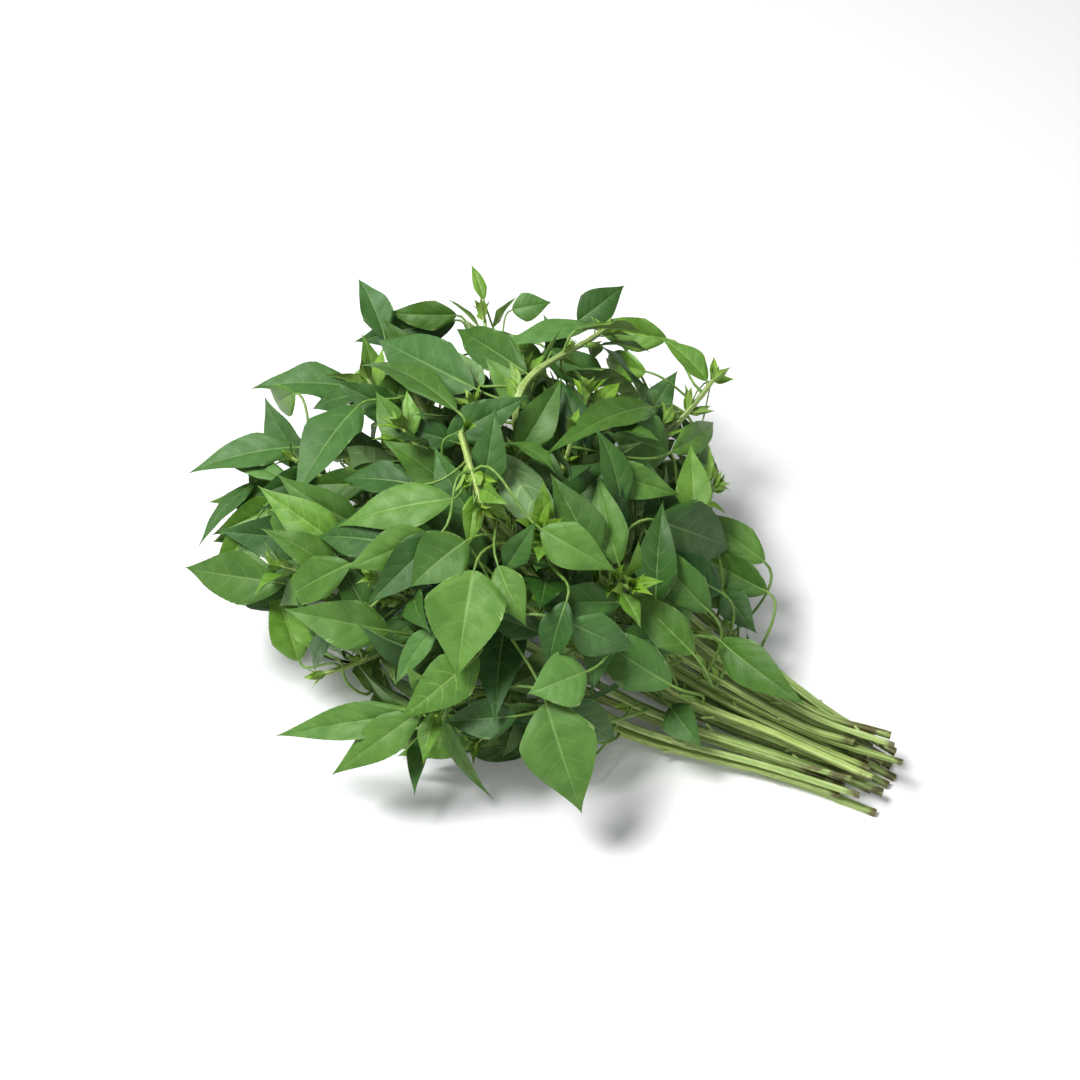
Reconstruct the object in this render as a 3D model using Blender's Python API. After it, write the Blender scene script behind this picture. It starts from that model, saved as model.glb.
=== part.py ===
"""A cut bunch of lemon basil lying on its side, one object for each leafy stem.

Lengths in this file are millimetres until a mesh is made, which is in metres.
The bunch lies along X: cut ends at +X, leafy tips at -X, and Z is up.
A point seen in the photograph is a pixel (across, down) of a square frame.
"""

import math
import random

import bpy
import numpy as np
from mathutils import Matrix, Vector
from mathutils.bvhtree import BVHTree

SEED = 13
METRE = 0.001
GOLDEN_ANGLE = math.pi * (3.0 - math.sqrt(5.0))

# The whole bunch
CUT_X = 144.0            # mean place of the cut ends
CUT_SCATTER = 12.0       # how unevenly the ends are cut
NECK_X = 52.0            # where the leaves begin
GRIP_X = 108.0           # where the gathered stems are held closest
STEM_PITCH = 4.6         # from one stem to the next in the pile
PILE_ROWS = (6, 7, 7, 6, 4, 2)   # stems in each row, from the surface up
PILE_STRAY = 0.9         # how far a stem strays from its place in the pile
LOOSE_ROWS = 2           # rows at the top, whose stems lie across the others
LOOSE_STRAY = 8.0        # how far their cut ends stray sideways
LOOSE_RISE = 2.5         # and upwards
GRIP_SPREAD = 1.42       # width of the pile here, next to its width at the ends
GRIP_RISE = 1.08         # its height in the same way
NECK_SPREAD = 2.5
NECK_RISE = 1.7
FLOOR_RUN = 118.0        # how far the lowest stems lie flat past the neck, at most
FLOOR_SHARE = 0.55       # and as a share of the way to their tips

# Where a stem bends between the neck and its tip
FAN_SLOPE = 0.02         # outward turn at the neck, for each millimetre off the pile's axis
AHEAD_SHARE = 0.42
INNER_SHARE = 0.55
INNER_MIX = (0.35, 0.6)  # how far the bend is drawn from the stem's course into the dome
FLOOR_BEND = 0.55        # where along its flat run a lowest stem bends
FAN_FOOT = (30.0, 14.0)  # the point the tips fan out from: behind the neck, and up
TIP_FURTHEST_BACK = 0.5  # where the tips that aren't seen stop, in dome radii
TIP_LOWEST = -0.62
ROLLS = (-0.6, 0.6)      # turn of a stem about its own line
FIRST_SWAY = 3.0         # how far a tip may move where its stem finds no room
SWAY_STEP = 0.35
PASSED_SWAY = 0.3        # and the share of it where the photograph shows the stem

# One stem
STEM_HALF = 1.4          # half the side of the square stem at its cut end
STEM_TIP_HALF = 0.85
GIRTHS = (0.8, 1.12)     # how much thinner or thicker a stem may be
TAPER_RUN = 75.0         # length of shoot over which it narrows to its tip
STEM_STEP = 26.0         # longest stretch of stem between two rings
SHELL_STEP = 5.0         # and in the shell that is used for testing
PATH_STEP = 1.5
NODE_HALF = 1.7          # half the length of the joint that a leaf pair grows from
BUD_LENGTH = 3.2

# Leaf pairs on a shoot: distance below its tip, blade length and blade width
LEAF_PAIRS = (
    (3.4, 12.0, 4.8),
    (9.0, 21.0, 8.8),
    (18.0, 33.0, 14.5),
    (34.0, 44.0, 19.0),
    (55.0, 48.0, 21.5),
    (79.0, 46.0, 20.5),
    (104.0, 42.0, 18.5),
)
ROSETTE_PAIRS = 2        # the first pairs, which stay small and upright
OUTER_PAIRS = 4          # the pairs that are grown before gaps are closed
PAIR_PAST_NECK = 4.0     # how far past the neck a pair may grow by rule
GAP_SPOTS = 640          # places on the dome that are looked at for gaps
SPOT_REACH = 1.75        # how far down they go, in dome radii
SPOT_PAST_NECK = 6.0
SPOT_LOWEST = 6.0
SPOT_PIXELS = 17         # and every so many pixels of the photograph's view
SPOT_COLUMNS = (200, 760)
SPOT_ROWS = (280, 790)
GAP_DEPTH = 32.0         # how deep a line may reach before it counts as a gap
GAP_TRIES = 16
STEM_TRIES = 60
SEEN_JOINTS = 170        # joints tried for a leaf of the photograph
FILL_JOINTS = 40
PUSHES = (0, 2, 4, 6, 8, 10, 12, 15, 18, 22, 26, 30, -3, -6, -9, -12)
PETIOLE_HALF = 0.7
SEEN_REACH = 62.0        # farthest stem from which a seen leaf may hang
FILL_REACH = 34.0
BLADE_HALF_THICK = 0.65
BASE_HALF_WIDTH = 1.1
BULGE_AT = 0.45          # where along a blade its rise is greatest
STALK_LEAD = 0.45        # how long a stalk keeps to the way it leaves the stem
STALK_FOLLOW = 0.35      # and how long it is in line with its blade
WIDEST_POWER = 0.67      # places a blade's widest part a little before its middle
FULLNESS = 0.85
TIP_DRAWN = 0.45
CLEARANCE = 0.4          # kept round each leaf
STEM_GAP = 0.35          # kept round each stem
ROOT_LIFT = 0.25
LEAST_GAP = 0.2

# The leafy dome that the tips reach
DOME_CENTRE = Vector((-38.0, 2.0, 46.0))
DOME_RADII = Vector((98.0, 98.0, 56.0))
LOWEST = 0.35

# How the photograph sees the bunch
IMAGE_SIZE = 1080.0
VIEW_AZIMUTH = math.radians(31.0)
VIEW_ELEVATION = math.radians(50.0)
VIEW_DISTANCE = 772.0
FOCAL_OVER_SENSOR = 60.0 / 36.0
VIEW_AIM = Vector((-22.0, 14.0, 40.0))

# Shoot tips that the photograph shows: pixel, lift above the dome, pixels passed on the way
SEEN_TIPS = {
    "crown": ((481, 503), 7.0, ((462, 434),)),
    "curled": ((601, 332), 6.0, ((519, 395),)),
    "top": ((482, 312), 3.0, ()),
    "right_high": ((707, 378), 2.0, ()),
    "right_mid": ((716, 485), 2.0, ()),
    "left": ((285, 562), 2.0, ()),
    "left_low": ((426, 706), 4.0, ()),
    "near_neck": ((624, 590), 5.0, ()),
    "centre": ((541, 527), 2.0, ()),
    "left_high": ((368, 380), 3.0, ()),
}

# Leaves that the photograph shows, nearest first:
# pixel of the blade's base, pixel of its tip, width, roll towards the viewer in degrees,
# lift of the base and of the tip above the dome
SEEN_LEAVES = {
    "front": ((474, 570), (457, 679), 31.0, 8, 6.0, 9.0),
    "lower_front": ((546, 703), (582, 814), 30.0, 5, 6.0, 10.0),
    "ribbed_under": ((502, 454), (568, 545), 20.0, 165, 13.0, 14.0),
    "big_blue_left": ((359, 405), (293, 502), 24.0, 20, 5.0, 6.0),
    "upper_blue": ((474, 388), (374, 338), 25.0, -12, 6.0, 6.0),
    "pale_patch": ((482, 386), (432, 339), 12.0, 165, 12.0, 11.0),
    "olive_long": ((456, 410), (357, 361), 16.0, 35, 7.0, 5.0),
    "upper_left": ((354, 387), (249, 388), 20.0, 25, 2.0, 0.0),
    "far_left": ((296, 447), (186, 473), 18.0, 25, 0.0, 0.0),
    "bottom_left": ((284, 583), (184, 567), 22.0, -5, 0.0, 0.0),
    "mid_left": ((452, 499), (335, 526), 20.0, 18, 3.0, 3.0),
    "olive_mid": ((466, 541), (408, 588), 22.0, 10, 3.0, 2.0),
    "arching_right": ((655, 407), (545, 452), 18.0, 25, 5.0, 6.0),
    "bright_centre": ((541, 529), (617, 572), 18.0, 10, 3.0, 3.0),
    "round_pale": ((668, 452), (606, 432), 25.0, 0, 1.0, 2.0),
    "right_dark": ((655, 520), (731, 548), 26.0, 5, 2.0, 1.0),
    "over_stems": ((719, 640), (807, 706), 18.0, 15, 12.0, 12.0),
    "pale_low": ((586, 672), (527, 694), 22.0, 5, 7.0, 8.0),
    "grey_green": ((569, 622), (638, 650), 18.0, 20, 4.0, 4.0),
    "up_pointing": ((385, 337), (358, 277), 15.0, 20, 0.0, 0.0),
    "upper_second": ((526, 373), (455, 328), 18.0, -10, 2.0, 1.0),
    "long_arch": ((592, 326), (494, 349), 13.0, 25, 3.0, 3.0),
    "dark_upper_right": ((578, 322), (625, 285), 17.0, 10, 0.0, 0.0),
    "young_upper_right": ((605, 332), (612, 293), 8.0, 10, 5.0, 4.0),
    "right_sprig": ((707, 381), (660, 337), 13.0, 20, 0.0, 0.0),
    "round_top": ((512, 310), (552, 302), 13.0, 15, 0.0, 0.0),
    "top_bract": ((484, 300), (471, 263), 6.0, 10, 0.0, 0.0),
    "pale_far_left": ((291, 482), (208, 455), 11.0, 30, -3.0, -2.0),
    "narrow_left": ((255, 482), (197, 547), 11.0, 30, -4.0, -3.0),
    "curled_left": ((262, 553), (219, 573), 9.0, 30, 0.0, 0.0),
    "dark_low_left": ((333, 628), (313, 672), 9.0, 25, 0.0, -4.0),
    "lower_left_a": ((415, 714), (273, 736), 15.0, 20, 2.0, 0.0),
    "lower_left_b": ((420, 712), (330, 776), 16.0, 10, 4.0, 4.0),
    "lower_left_c": ((424, 734), (414, 796), 9.0, 20, 1.0, 1.0),
    "lower_left_d": ((438, 700), (493, 803), 9.0, 35, 3.0, 3.0),
    "mid_green_low": ((516, 716), (442, 722), 16.0, 10, 0.0, 0.0),
    "green_left": ((350, 564), (277, 607), 18.0, 15, 2.0, 2.0),
    "pale_narrow": ((438, 624), (394, 686), 10.0, 20, 3.0, 3.0),
    "behind_front": ((498, 566), (527, 628), 14.0, 10, 2.0, 2.0),
    "dark_behind_low": ((560, 700), (618, 741), 17.0, 5, 0.0, 0.0),
    "under_stems": ((670, 706), (702, 748), 15.0, 10, -4.0, -2.0),
    "behind_stem": ((722, 590), (757, 634), 14.0, 15, -4.0, -4.0),
    "right_edge": ((672, 452), (716, 421), 13.0, 15, -2.0, -2.0),
    "left_inner": ((413, 484), (341, 480), 15.0, 20, 1.0, 1.0),
    "left_lower_inner": ((391, 543), (316, 536), 17.0, 10, 1.0, 1.0),
    "left_pair": ((360, 395), (311, 409), 13.0, 20, 0.0, -2.0),
    "right_small_a": ((712, 378), (714, 356), 4.0, 10, 2.0, 2.0),
    "right_small_b": ((712, 380), (735, 379), 4.0, 10, 2.0, 2.0),
    "right_tip_a": ((716, 488), (741, 483), 6.0, 10, 2.0, 2.0),
    "right_tip_b": ((714, 484), (712, 464), 5.0, 10, 2.0, 2.0),
}

# The edge of the foliage in the photograph, which the other leaves keep inside
FOLIAGE_EDGE = (
    (352, 300), (470, 292), (560, 288), (640, 312), (705, 372), (712, 440),
    (735, 520), (745, 604), (700, 640), (640, 652), (596, 684), (575, 745), (440, 775),
    (380, 760), (385, 690), (330, 640), (215, 600), (205, 520), (212, 460),
    (262, 385), (330, 365),
)

# A leaf of the photograph
SEEN_ARCH = 0.14         # rise of a blade's middle, as a share of its length
SEEN_FOLD = 13.0         # degrees that each half stands up from the midrib
EYE_SHARE = 0.75         # how much it faces the viewer, and the dome's outside for the rest
# Places on it that no later leaf may hide: share of its length, and of its half width
SIGHTS = ((0.5, 0.0), (0.25, 0.0), (0.78, 0.0), (0.45, 0.55), (0.45, -0.55))
SIGHT_LIFT = 1.5
SIGHT_REACH = 200.0

# A stalk: how far it may reach back, and what makes it a bad one
FIRST_JOINT = 30.0
LAST_JOINT = 4.0
JOINT_STEP = 3.0
JOINT_LIMIT = 45.0       # past the neck, towards the cut ends
STALK_BACK = 9.0
STALK_DEPTH = 3.0
SHORTEST_STALK = 5.0
LEAST_FACING = 0.25
LEAST_FOLLOW = 0.15      # how nearly the blade must run on the way its stalk came
LONG_STALK = 26.0        # a longer stalk costs more
LONG_COST = 1.5
BEND_COST = 22.0
TURN_COST = 42.0

# A leaf grown by rule from its own joint
SCATTER = 0.3
UP_SCATTER = 0.25
STALK_LENGTHS = (8.0, 15.0)
SIZES = (0.85, 1.1)
SHRINK = 0.45            # how much smaller the last try is than the first
YOUNG_LEAD = (0.75, 0.9, 0.5)    # how a young leaf sets out: off the stem, along it, at random
YOUNG_COURSE = (0.8, 0.25, 0.3)  # and goes on: as it set out, along the stem, off it
YOUNG_STALK = (0.12, 1.2)        # its stalk: a share of its length, and this much more
LEAD = (1.0, 0.55, 0.7)          # how a grown leaf sets out
COURSE = (0.8, 0.45, 0.3)        # and goes on: off the stem, along it, outward from the dome
SINKS = (0.0, 0.2)
DEPTH_START, DEPTH_GAIN = 0.35, 1.3  # nearer the dome's outside a leaf lies flatter to it
UP_MIX = (0.55, 0.9)             # which way it faces: along the stem, outward from the dome
ARCHES = (0.05, 0.2)
FOLDS = (8.0, 24.0)
PAST_NECK = 22.0
DOME_REACH = 1.3
TIP_TRIES, OUTER_TRIES, INNER_TRIES = 12, 22, 16

# A leaf laid over a gap
GAP_LENGTHS = (38.0, 52.0)
GAP_SHRINK = 0.3
GAP_DEPTHS = (-4.0, 14.0)
GAP_SLENDERNESS = (0.4, 0.5)
GAP_ARCHES = (0.08, 0.2)
GAP_FOLDS = (8.0, 22.0)
COURSE_SCATTER = 0.55
TILTS = (-0.1, 0.25)
LOOK_FROM = 16.0
GAP_COURSE = (-0.9, 0.5)         # towards the tips, and sideways from the bunch's middle line

# Where a leaf's cross-sections lie: along its stalk, and along its blade
SEEN_STALK = (0.35, 0.7)
SEEN_BLADE = (0.0, 0.16, 0.42, 0.74)
FILL_STALK = (0.85,)
FILL_BLADE = (0.3, 0.68)
SMALL_STALK = ()
SMALL_BLADE = (0.0, 0.4)

# Plain colour of the solids
SOLID_GREEN = (0.065, 0.19, 0.045)
SOLID_SHADES = (0.85, 0.3)
SOLID_ROUGHNESS = 0.55


def view_axes():
    """Right, up and back axes of the photograph's view."""
    back = Vector((
        math.sin(VIEW_AZIMUTH) * math.cos(VIEW_ELEVATION),
        -math.cos(VIEW_AZIMUTH) * math.cos(VIEW_ELEVATION),
        math.sin(VIEW_ELEVATION),
    ))
    right = Vector((math.cos(VIEW_AZIMUTH), math.sin(VIEW_AZIMUTH), 0.0))
    return right, back.cross(right), back


VIEW_RIGHT, VIEW_UP, VIEW_BACK = view_axes()
VIEW_EYE = VIEW_AIM + VIEW_BACK * VIEW_DISTANCE


def sight_line(pixel):
    """Direction in which a pixel looks from the eye."""
    focal = IMAGE_SIZE * FOCAL_OVER_SENSOR
    across = (pixel[0] - IMAGE_SIZE / 2) / focal
    down = (pixel[1] - IMAGE_SIZE / 2) / focal
    return (VIEW_RIGHT * across - VIEW_UP * down - VIEW_BACK).normalized()


def pixel_of(point):
    """Pixel at which a point is seen."""
    offset = point - VIEW_EYE
    scale = IMAGE_SIZE * FOCAL_OVER_SENSOR / -offset.dot(VIEW_BACK)
    return (
        IMAGE_SIZE / 2 + offset.dot(VIEW_RIGHT) * scale,
        IMAGE_SIZE / 2 - offset.dot(VIEW_UP) * scale,
    )


def to_unit(vector):
    """A vector in the space where the dome is a unit sphere."""
    return Vector(a / r for a, r in zip(vector, DOME_RADII))


def dome_outward(point):
    """Outward direction of the dome near a point."""
    scaled = to_unit(point - DOME_CENTRE)
    return Vector(a / r for a, r in zip(scaled, DOME_RADII)).normalized()


def seen_on_dome(pixel, lift):
    """Where a pixel's line meets the dome, or passes it closest, raised towards the viewer."""
    line = sight_line(pixel)
    start = to_unit(VIEW_EYE - DOME_CENTRE)
    slope = to_unit(line)
    closest = -start.dot(slope) / slope.dot(slope)
    miss = (start + slope * closest).length_squared
    reach = math.sqrt(max(0.0, 1.0 - miss) / slope.dot(slope))
    point = VIEW_EYE + line * (closest - reach - lift)
    if point.z < LOWEST + BLADE_HALF_THICK + 1.0:
        point = VIEW_EYE + line * ((LOWEST + BLADE_HALF_THICK + 1.0 - VIEW_EYE.z) / line.z)
    return point


def inside_edge(pixel):
    """Whether a pixel lies within the foliage's edge."""
    inside = False
    for (ax, ay), (bx, by) in zip(FOLIAGE_EDGE, FOLIAGE_EDGE[1:] + FOLIAGE_EDGE[:1]):
        if (ay > pixel[1]) != (by > pixel[1]):
            if pixel[0] < ax + (pixel[1] - ay) * (bx - ax) / (by - ay):
                inside = not inside
    return inside


class Path:
    """A smooth line through points, with a frame that doesn't twist."""

    def __init__(self, points, floor):
        rough = []
        ends = [points[0] * 2 - points[1]] + points + [points[-1] * 2 - points[-2]]
        for a, b, c, d in zip(ends, ends[1:], ends[2:], ends[3:]):
            steps = max(2, int((c - b).length / PATH_STEP))
            for step in range(steps):
                rough.append(catmull_rom(a, b, c, d, step / steps))
        rough.append(points[-1].copy())
        self.points = [Vector((p.x, p.y, max(p.z, floor))) for p in rough]
        self.along = [0.0]
        for a, b in zip(self.points, self.points[1:]):
            self.along.append(self.along[-1] + (b - a).length)
        self.length = self.along[-1]
        self.frames = self.carried_frames()

    def carried_frames(self):
        """Direction, side and top at each point, each carried on from the one before."""
        frames = []
        top = Vector((0.0, 0.0, 1.0))
        last = len(self.points) - 1
        for i in range(last + 1):
            heading = self.points[min(i + 1, last)] - self.points[max(i - 1, 0)]
            heading.normalize()
            side = top.cross(heading).normalized()
            top = heading.cross(side)
            frames.append((heading, side, top))
        return frames

    def at(self, distance):
        """Point, direction, side and top at a distance from the start."""
        distance = min(max(distance, 0.0), self.length)
        i = min(int(np.searchsorted(self.along, distance, side="right")) - 1, len(self.along) - 2)
        share = (distance - self.along[i]) / (self.along[i + 1] - self.along[i])
        place = self.points[i].lerp(self.points[i + 1], share)
        heading = self.frames[i][0].lerp(self.frames[i + 1][0], share).normalized()
        top = self.frames[i][2].lerp(self.frames[i + 1][2], share)
        side = top.cross(heading).normalized()
        return place, heading, side, heading.cross(side)


def catmull_rom(a, b, c, d, t):
    """Point between b and c on the curve through a, b, c and d."""
    return 0.5 * (
        2 * b + (c - a) * t
        + (2 * a - 5 * b + 4 * c - d) * t ** 2
        + (3 * b - a - 3 * c + d) * t ** 3
    )


def bezier(a, b, c, d, t):
    """Point of a cubic curve and its direction."""
    s = 1.0 - t
    point = a * s ** 3 + b * 3 * s * s * t + c * 3 * s * t * t + d * t ** 3
    slope = (b - a) * s * s + (c - b) * 2 * s * t + (d - c) * t * t
    return point, slope.normalized()


class Stem:
    """One square stem: its path, its taper and the joints where leaves grow."""

    def __init__(self, name, path, roll, girth):
        self.name = name
        self.path = path
        self.roll = roll
        self.girth = girth
        self.joints = []
        self.leaves = []
        self.number = 0
        self.core = None

    def half(self, distance):
        """Half the stem's side, which narrows only near the tip."""
        share = min(1.0, (self.path.length - distance) / TAPER_RUN)
        return self.girth * (STEM_TIP_HALF + (STEM_HALF - STEM_TIP_HALF) * share)

    def frame(self, distance):
        """Point, direction and the two rolled cross directions."""
        place, heading, side, top = self.path.at(distance)
        turn = Matrix.Rotation(self.roll, 3, heading)
        return place, heading, turn @ side, turn @ top

    def ring(self, distance, grow=0.0):
        """Four corners of the stem, anticlockwise about its direction."""
        place, _, side, top = self.frame(distance)
        half = self.half(distance) + grow
        signs = ((1, 1), (-1, 1), (-1, -1), (1, -1))
        return [place + side * (a * half) + top * (b * half) for a, b in signs]

    def face(self, distance, k):
        """Middle of side face k and its outward direction."""
        place, _, side, top = self.frame(distance)
        outward = (top, -side, -top, side)[k]
        return place + outward * self.half(distance), outward

    def root_loop(self, distance, k, lift=0.0):
        """Four corners of side face k of a joint, moved outward by lift."""
        low = self.ring(distance - NODE_HALF)
        high = self.ring(distance + NODE_HALF)
        n = (k + 1) % 4
        shift = self.face(distance, k)[1] * lift
        return [p + shift for p in (low[k], low[n], high[n], high[k])]

    def free_joint(self, distance):
        """The joint at this distance, or None where another is too close."""
        for joint in self.joints:
            if abs(joint["at"] - distance) < 0.01:
                return joint
            if abs(joint["at"] - distance) < 2 * NODE_HALF + 1.0:
                return None
        return {"at": distance, "faces": {}}

    def add(self, joint, leaf):
        if joint not in self.joints:
            self.joints.append(joint)
        joint["faces"][leaf["face"]] = leaf
        self.leaves.append(leaf)


class Crowd:
    """Everything placed so far, to keep each new piece clear of it."""

    def __init__(self):
        self.items = []
        self.low = np.zeros((0, 3))
        self.high = np.zeros((0, 3))
        self.sights = []

    def keep_seen(self, blade):
        """Keeps the view of a leaf of the photograph open."""
        for number, (share, sideways) in enumerate(SIGHTS):
            part = blade_sections(blade, (share,))[0]
            point = part["centre"] + part["side"] * (part["half_width"] * sideways)
            way = (VIEW_EYE - point).normalized()
            self.sights.append((number == 0, point + way * SIGHT_LIFT, way))

    def hides(self, verts, faces, middles_only):
        """Whether a piece would stand in the view of a leaf that is kept seen."""
        tree = BVHTree.FromPolygons(verts, faces)
        for middle, point, way in self.sights:
            if middle or not middles_only:
                if tree.ray_cast(point, way, SIGHT_REACH)[0] is not None:
                    return True
        return False

    def add(self, verts, faces, owner):
        tree = BVHTree.FromPolygons(verts, faces)
        low = np.min(verts, axis=0)
        high = np.max(verts, axis=0)
        self.items.append((tree, owner))
        self.low = np.vstack((self.low, low))
        self.high = np.vstack((self.high, high))

    def meets(self, start, heading, reach):
        """Whether a straight line from start meets anything within reach."""
        end = start + heading * reach
        low = np.minimum(start, end)
        high = np.maximum(start, end)
        near = np.all((self.low <= high) & (self.high >= low), axis=1)
        for i in np.nonzero(near)[0]:
            if self.items[i][0].ray_cast(start, heading, reach)[0] is not None:
                return True
        return False

    def clear(self, verts, faces, skip=()):
        """Whether a piece crosses nothing, leaving out the owners in skip."""
        tree = BVHTree.FromPolygons(verts, faces)
        low = np.min(verts, axis=0)
        high = np.max(verts, axis=0)
        near = np.all((self.low <= high) & (self.high >= low), axis=1)
        for i in np.nonzero(near)[0]:
            other, owner = self.items[i]
            if owner not in skip and tree.overlap(other):
                return False
        return True


def outline(share):
    """Half width of an ovate leaf with a drawn-out tip, as a share of its widest."""
    return math.sin(math.pi * share ** WIDEST_POWER) ** (FULLNESS + TIP_DRAWN * share)


def section(centre, heading, up, half_width, half_thick, rise):
    up = (up - heading * up.dot(heading)).normalized()
    return {
        "centre": centre, "heading": heading, "up": up, "side": up.cross(heading),
        "half_width": half_width, "half_thick": half_thick, "rise": rise,
    }


def blade_sections(blade, stations):
    """Cross-sections of a blade from its base, which is station 0, towards its tip."""
    chord = blade["tip"] - blade["base"]
    bulge = blade["base"] + chord * BULGE_AT + blade["up"] * (blade["arch"] * chord.length)
    sections = []
    for share in stations:
        centre = (
            blade["base"] * (1 - share) ** 2
            + bulge * (2 * share * (1 - share)) + blade["tip"] * share ** 2
        )
        heading = ((bulge - blade["base"]) * (1 - share) + (blade["tip"] - bulge) * share)
        half_width = max(BASE_HALF_WIDTH, blade["width"] / 2 * outline(share))
        if share == 0.0:
            half_width = min(BASE_HALF_WIDTH, blade["width"] / 4)
        thick = BLADE_HALF_THICK if share > 0.0 else PETIOLE_HALF
        rise = half_width * math.tan(blade["fold"]) if share > 0.0 else 0.0
        sections.append(section(
            centre, heading.normalized(), blade["up"], half_width, thick, rise))
    return sections


def petiole_sections(stem, distance, k, blade, shares):
    """Cross-sections of the leaf stalk from the stem's face to the blade's base."""
    root, outward = stem.face(distance, k)
    chord = blade["base"] - root
    first = blade_sections(blade, (0.0,))[0]
    lead = root + outward * (chord.length * STALK_LEAD)
    follow = blade["base"] - first["heading"] * (chord.length * STALK_FOLLOW)
    stem_up = stem.frame(distance)[1]
    sections = []
    for share in shares:
        centre, heading = bezier(root, lead, follow, blade["base"], share)
        up = stem_up.lerp(first["up"], share)
        sections.append(section(centre, heading, up, PETIOLE_HALF, PETIOLE_HALF, 0.0))
    return sections


def loop_points(part, grow=0.0):
    """Bottom, right, top and left of a cross-section, seen from the leaf's tip."""
    centre, up, side = part["centre"], part["up"], part["side"]
    reach = side * (part["half_width"] + grow)
    rise = up * part["rise"]
    thick = up * (part["half_thick"] + grow)
    return [centre - thick, centre + reach + rise, centre + thick, centre - reach + rise]


def bridge(a, b):
    """Triangles between two loops of four, split alike on the top and the underside."""
    return [
        (a[0], a[1], b[0]), (a[1], b[1], b[0]),
        (a[1], a[2], b[2]), (a[1], b[2], b[1]),
        (a[2], a[3], b[2]), (a[3], b[3], b[2]),
        (a[3], a[0], b[0]), (a[3], b[0], b[3]),
    ]


def fan(a, tip):
    return [(a[i], a[(i + 1) % 4], tip) for i in range(4)]


def turned(loop, onto, verts):
    """The loop's vertices in the order that twists least on the way to the next loop."""
    middle = sum((verts[i] for i in loop), Vector()) / 4
    goal = sum((verts[i] for i in onto), Vector()) / 4
    spokes = [(verts[i] - middle).normalized() for i in loop]
    ends = [(verts[i] - goal).normalized() for i in onto]

    def likeness(shift):
        return sum(spokes[(i + shift) % 4].dot(ends[i]) for i in range(4))

    best = max(range(4), key=likeness)
    return loop[best:] + loop[:best]


def leaf_shell(loops, tip):
    """Vertices and triangles of a run of loops that ends in a point."""
    verts = [p for loop in loops for p in loop] + [tip]
    rows = [list(range(4 * i, 4 * i + 4)) for i in range(len(loops))]
    faces = []
    for a, b in zip(rows, rows[1:]):
        faces += bridge(turned(a, b, verts), b)
    faces += fan(rows[-1], len(verts) - 1)
    return verts, faces


def grown_shell(sections, blade):
    """A leaf's shell a clearance larger than the leaf, for testing."""
    loops = [loop_points(s, CLEARANCE) for s in sections]
    heading = sections[-1]["heading"]
    return leaf_shell(loops, blade["tip"] + heading * CLEARANCE)


def stem_shell(stem, grow):
    """A stem's shell with a ring every few millimetres."""
    count = max(4, int(stem.path.length / SHELL_STEP))
    loops = [stem.ring(stem.path.length * i / count, grow) for i in range(count)]
    return leaf_shell(loops, stem.path.points[-1] + stem.path.frames[-1][0] * grow)


def above_floor(verts):
    return min(v.z for v in verts) >= LOWEST


def stacked_slots():
    """Places of the stems in the pile, as (across, up) from the middle of its foot."""
    slots = []
    for row, count in enumerate(PILE_ROWS):
        for i in range(count):
            across = (i - (count - 1) / 2) * STEM_PITCH
            slots.append((across, STEM_HALF + row * STEM_PITCH * math.sqrt(3) / 2))
    return slots


def tip_targets(count):
    """Tips for every shoot: those in the photograph, then an even spread over the dome."""
    tips = []
    for name, (pixel, lift, passed) in SEEN_TIPS.items():
        tips.append((name, seen_on_dome(pixel, lift), [seen_on_dome(p, lift) for p in passed]))
    spread = 3 * count
    candidates = []
    for i in range(spread):
        lift = 1.0 - 2.0 * (i + 0.5) / spread
        ring = math.sqrt(1.0 - lift * lift)
        unit = Vector((math.cos(i * GOLDEN_ANGLE) * ring, math.sin(i * GOLDEN_ANGLE) * ring, lift))
        if unit.x > TIP_FURTHEST_BACK or unit.z < TIP_LOWEST:
            continue
        candidates.append(DOME_CENTRE + Vector(u * r for u, r in zip(unit, DOME_RADII)))
    while len(tips) < count:
        taken = [t[1] for t in tips]
        best = max(candidates, key=lambda c: min((c - t).length for t in taken))
        candidates.remove(best)
        tips.append((f"filler_{len(tips)}", best, []))
    return tips


def matched_tips(slots, tips):
    """A tip for each slot, so that stems fan out without crossing."""
    fan_centre = Vector((NECK_X + FAN_FOOT[0], 0.0, FAN_FOOT[1]))

    def wanted(tip):
        offset = tip - fan_centre
        sideways = math.hypot(offset.y, offset.z)
        swing = math.atan2(sideways, -offset.x)
        return (swing * offset.y / sideways, swing * offset.z / sideways)

    aims = [wanted(t[1]) for t in tips]
    wide = max(abs(a[0]) for a in aims)
    tall = max(a[1] for a in aims)
    low = min(a[1] for a in aims)
    half_pile = (max(PILE_ROWS) - 1) / 2 * STEM_PITCH
    top_pile = slots[-1][1]
    aims = [(a[0] / wide * half_pile, (a[1] - low) / (tall - low) * top_pile) for a in aims]
    order = list(range(len(slots)))

    def cost(slot, aim):
        return (slots[slot][0] - aims[aim][0]) ** 2 + (slots[slot][1] - aims[aim][1]) ** 2

    improved = True
    while improved:
        improved = False
        for i in range(len(order)):
            for j in range(i + 1, len(order)):
                now = cost(i, order[i]) + cost(j, order[j])
                swapped = cost(i, order[j]) + cost(j, order[i])
                if swapped < now - 1e-9:
                    order[i], order[j] = order[j], order[i]
                    improved = True
    return [tips[i] for i in order]


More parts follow.
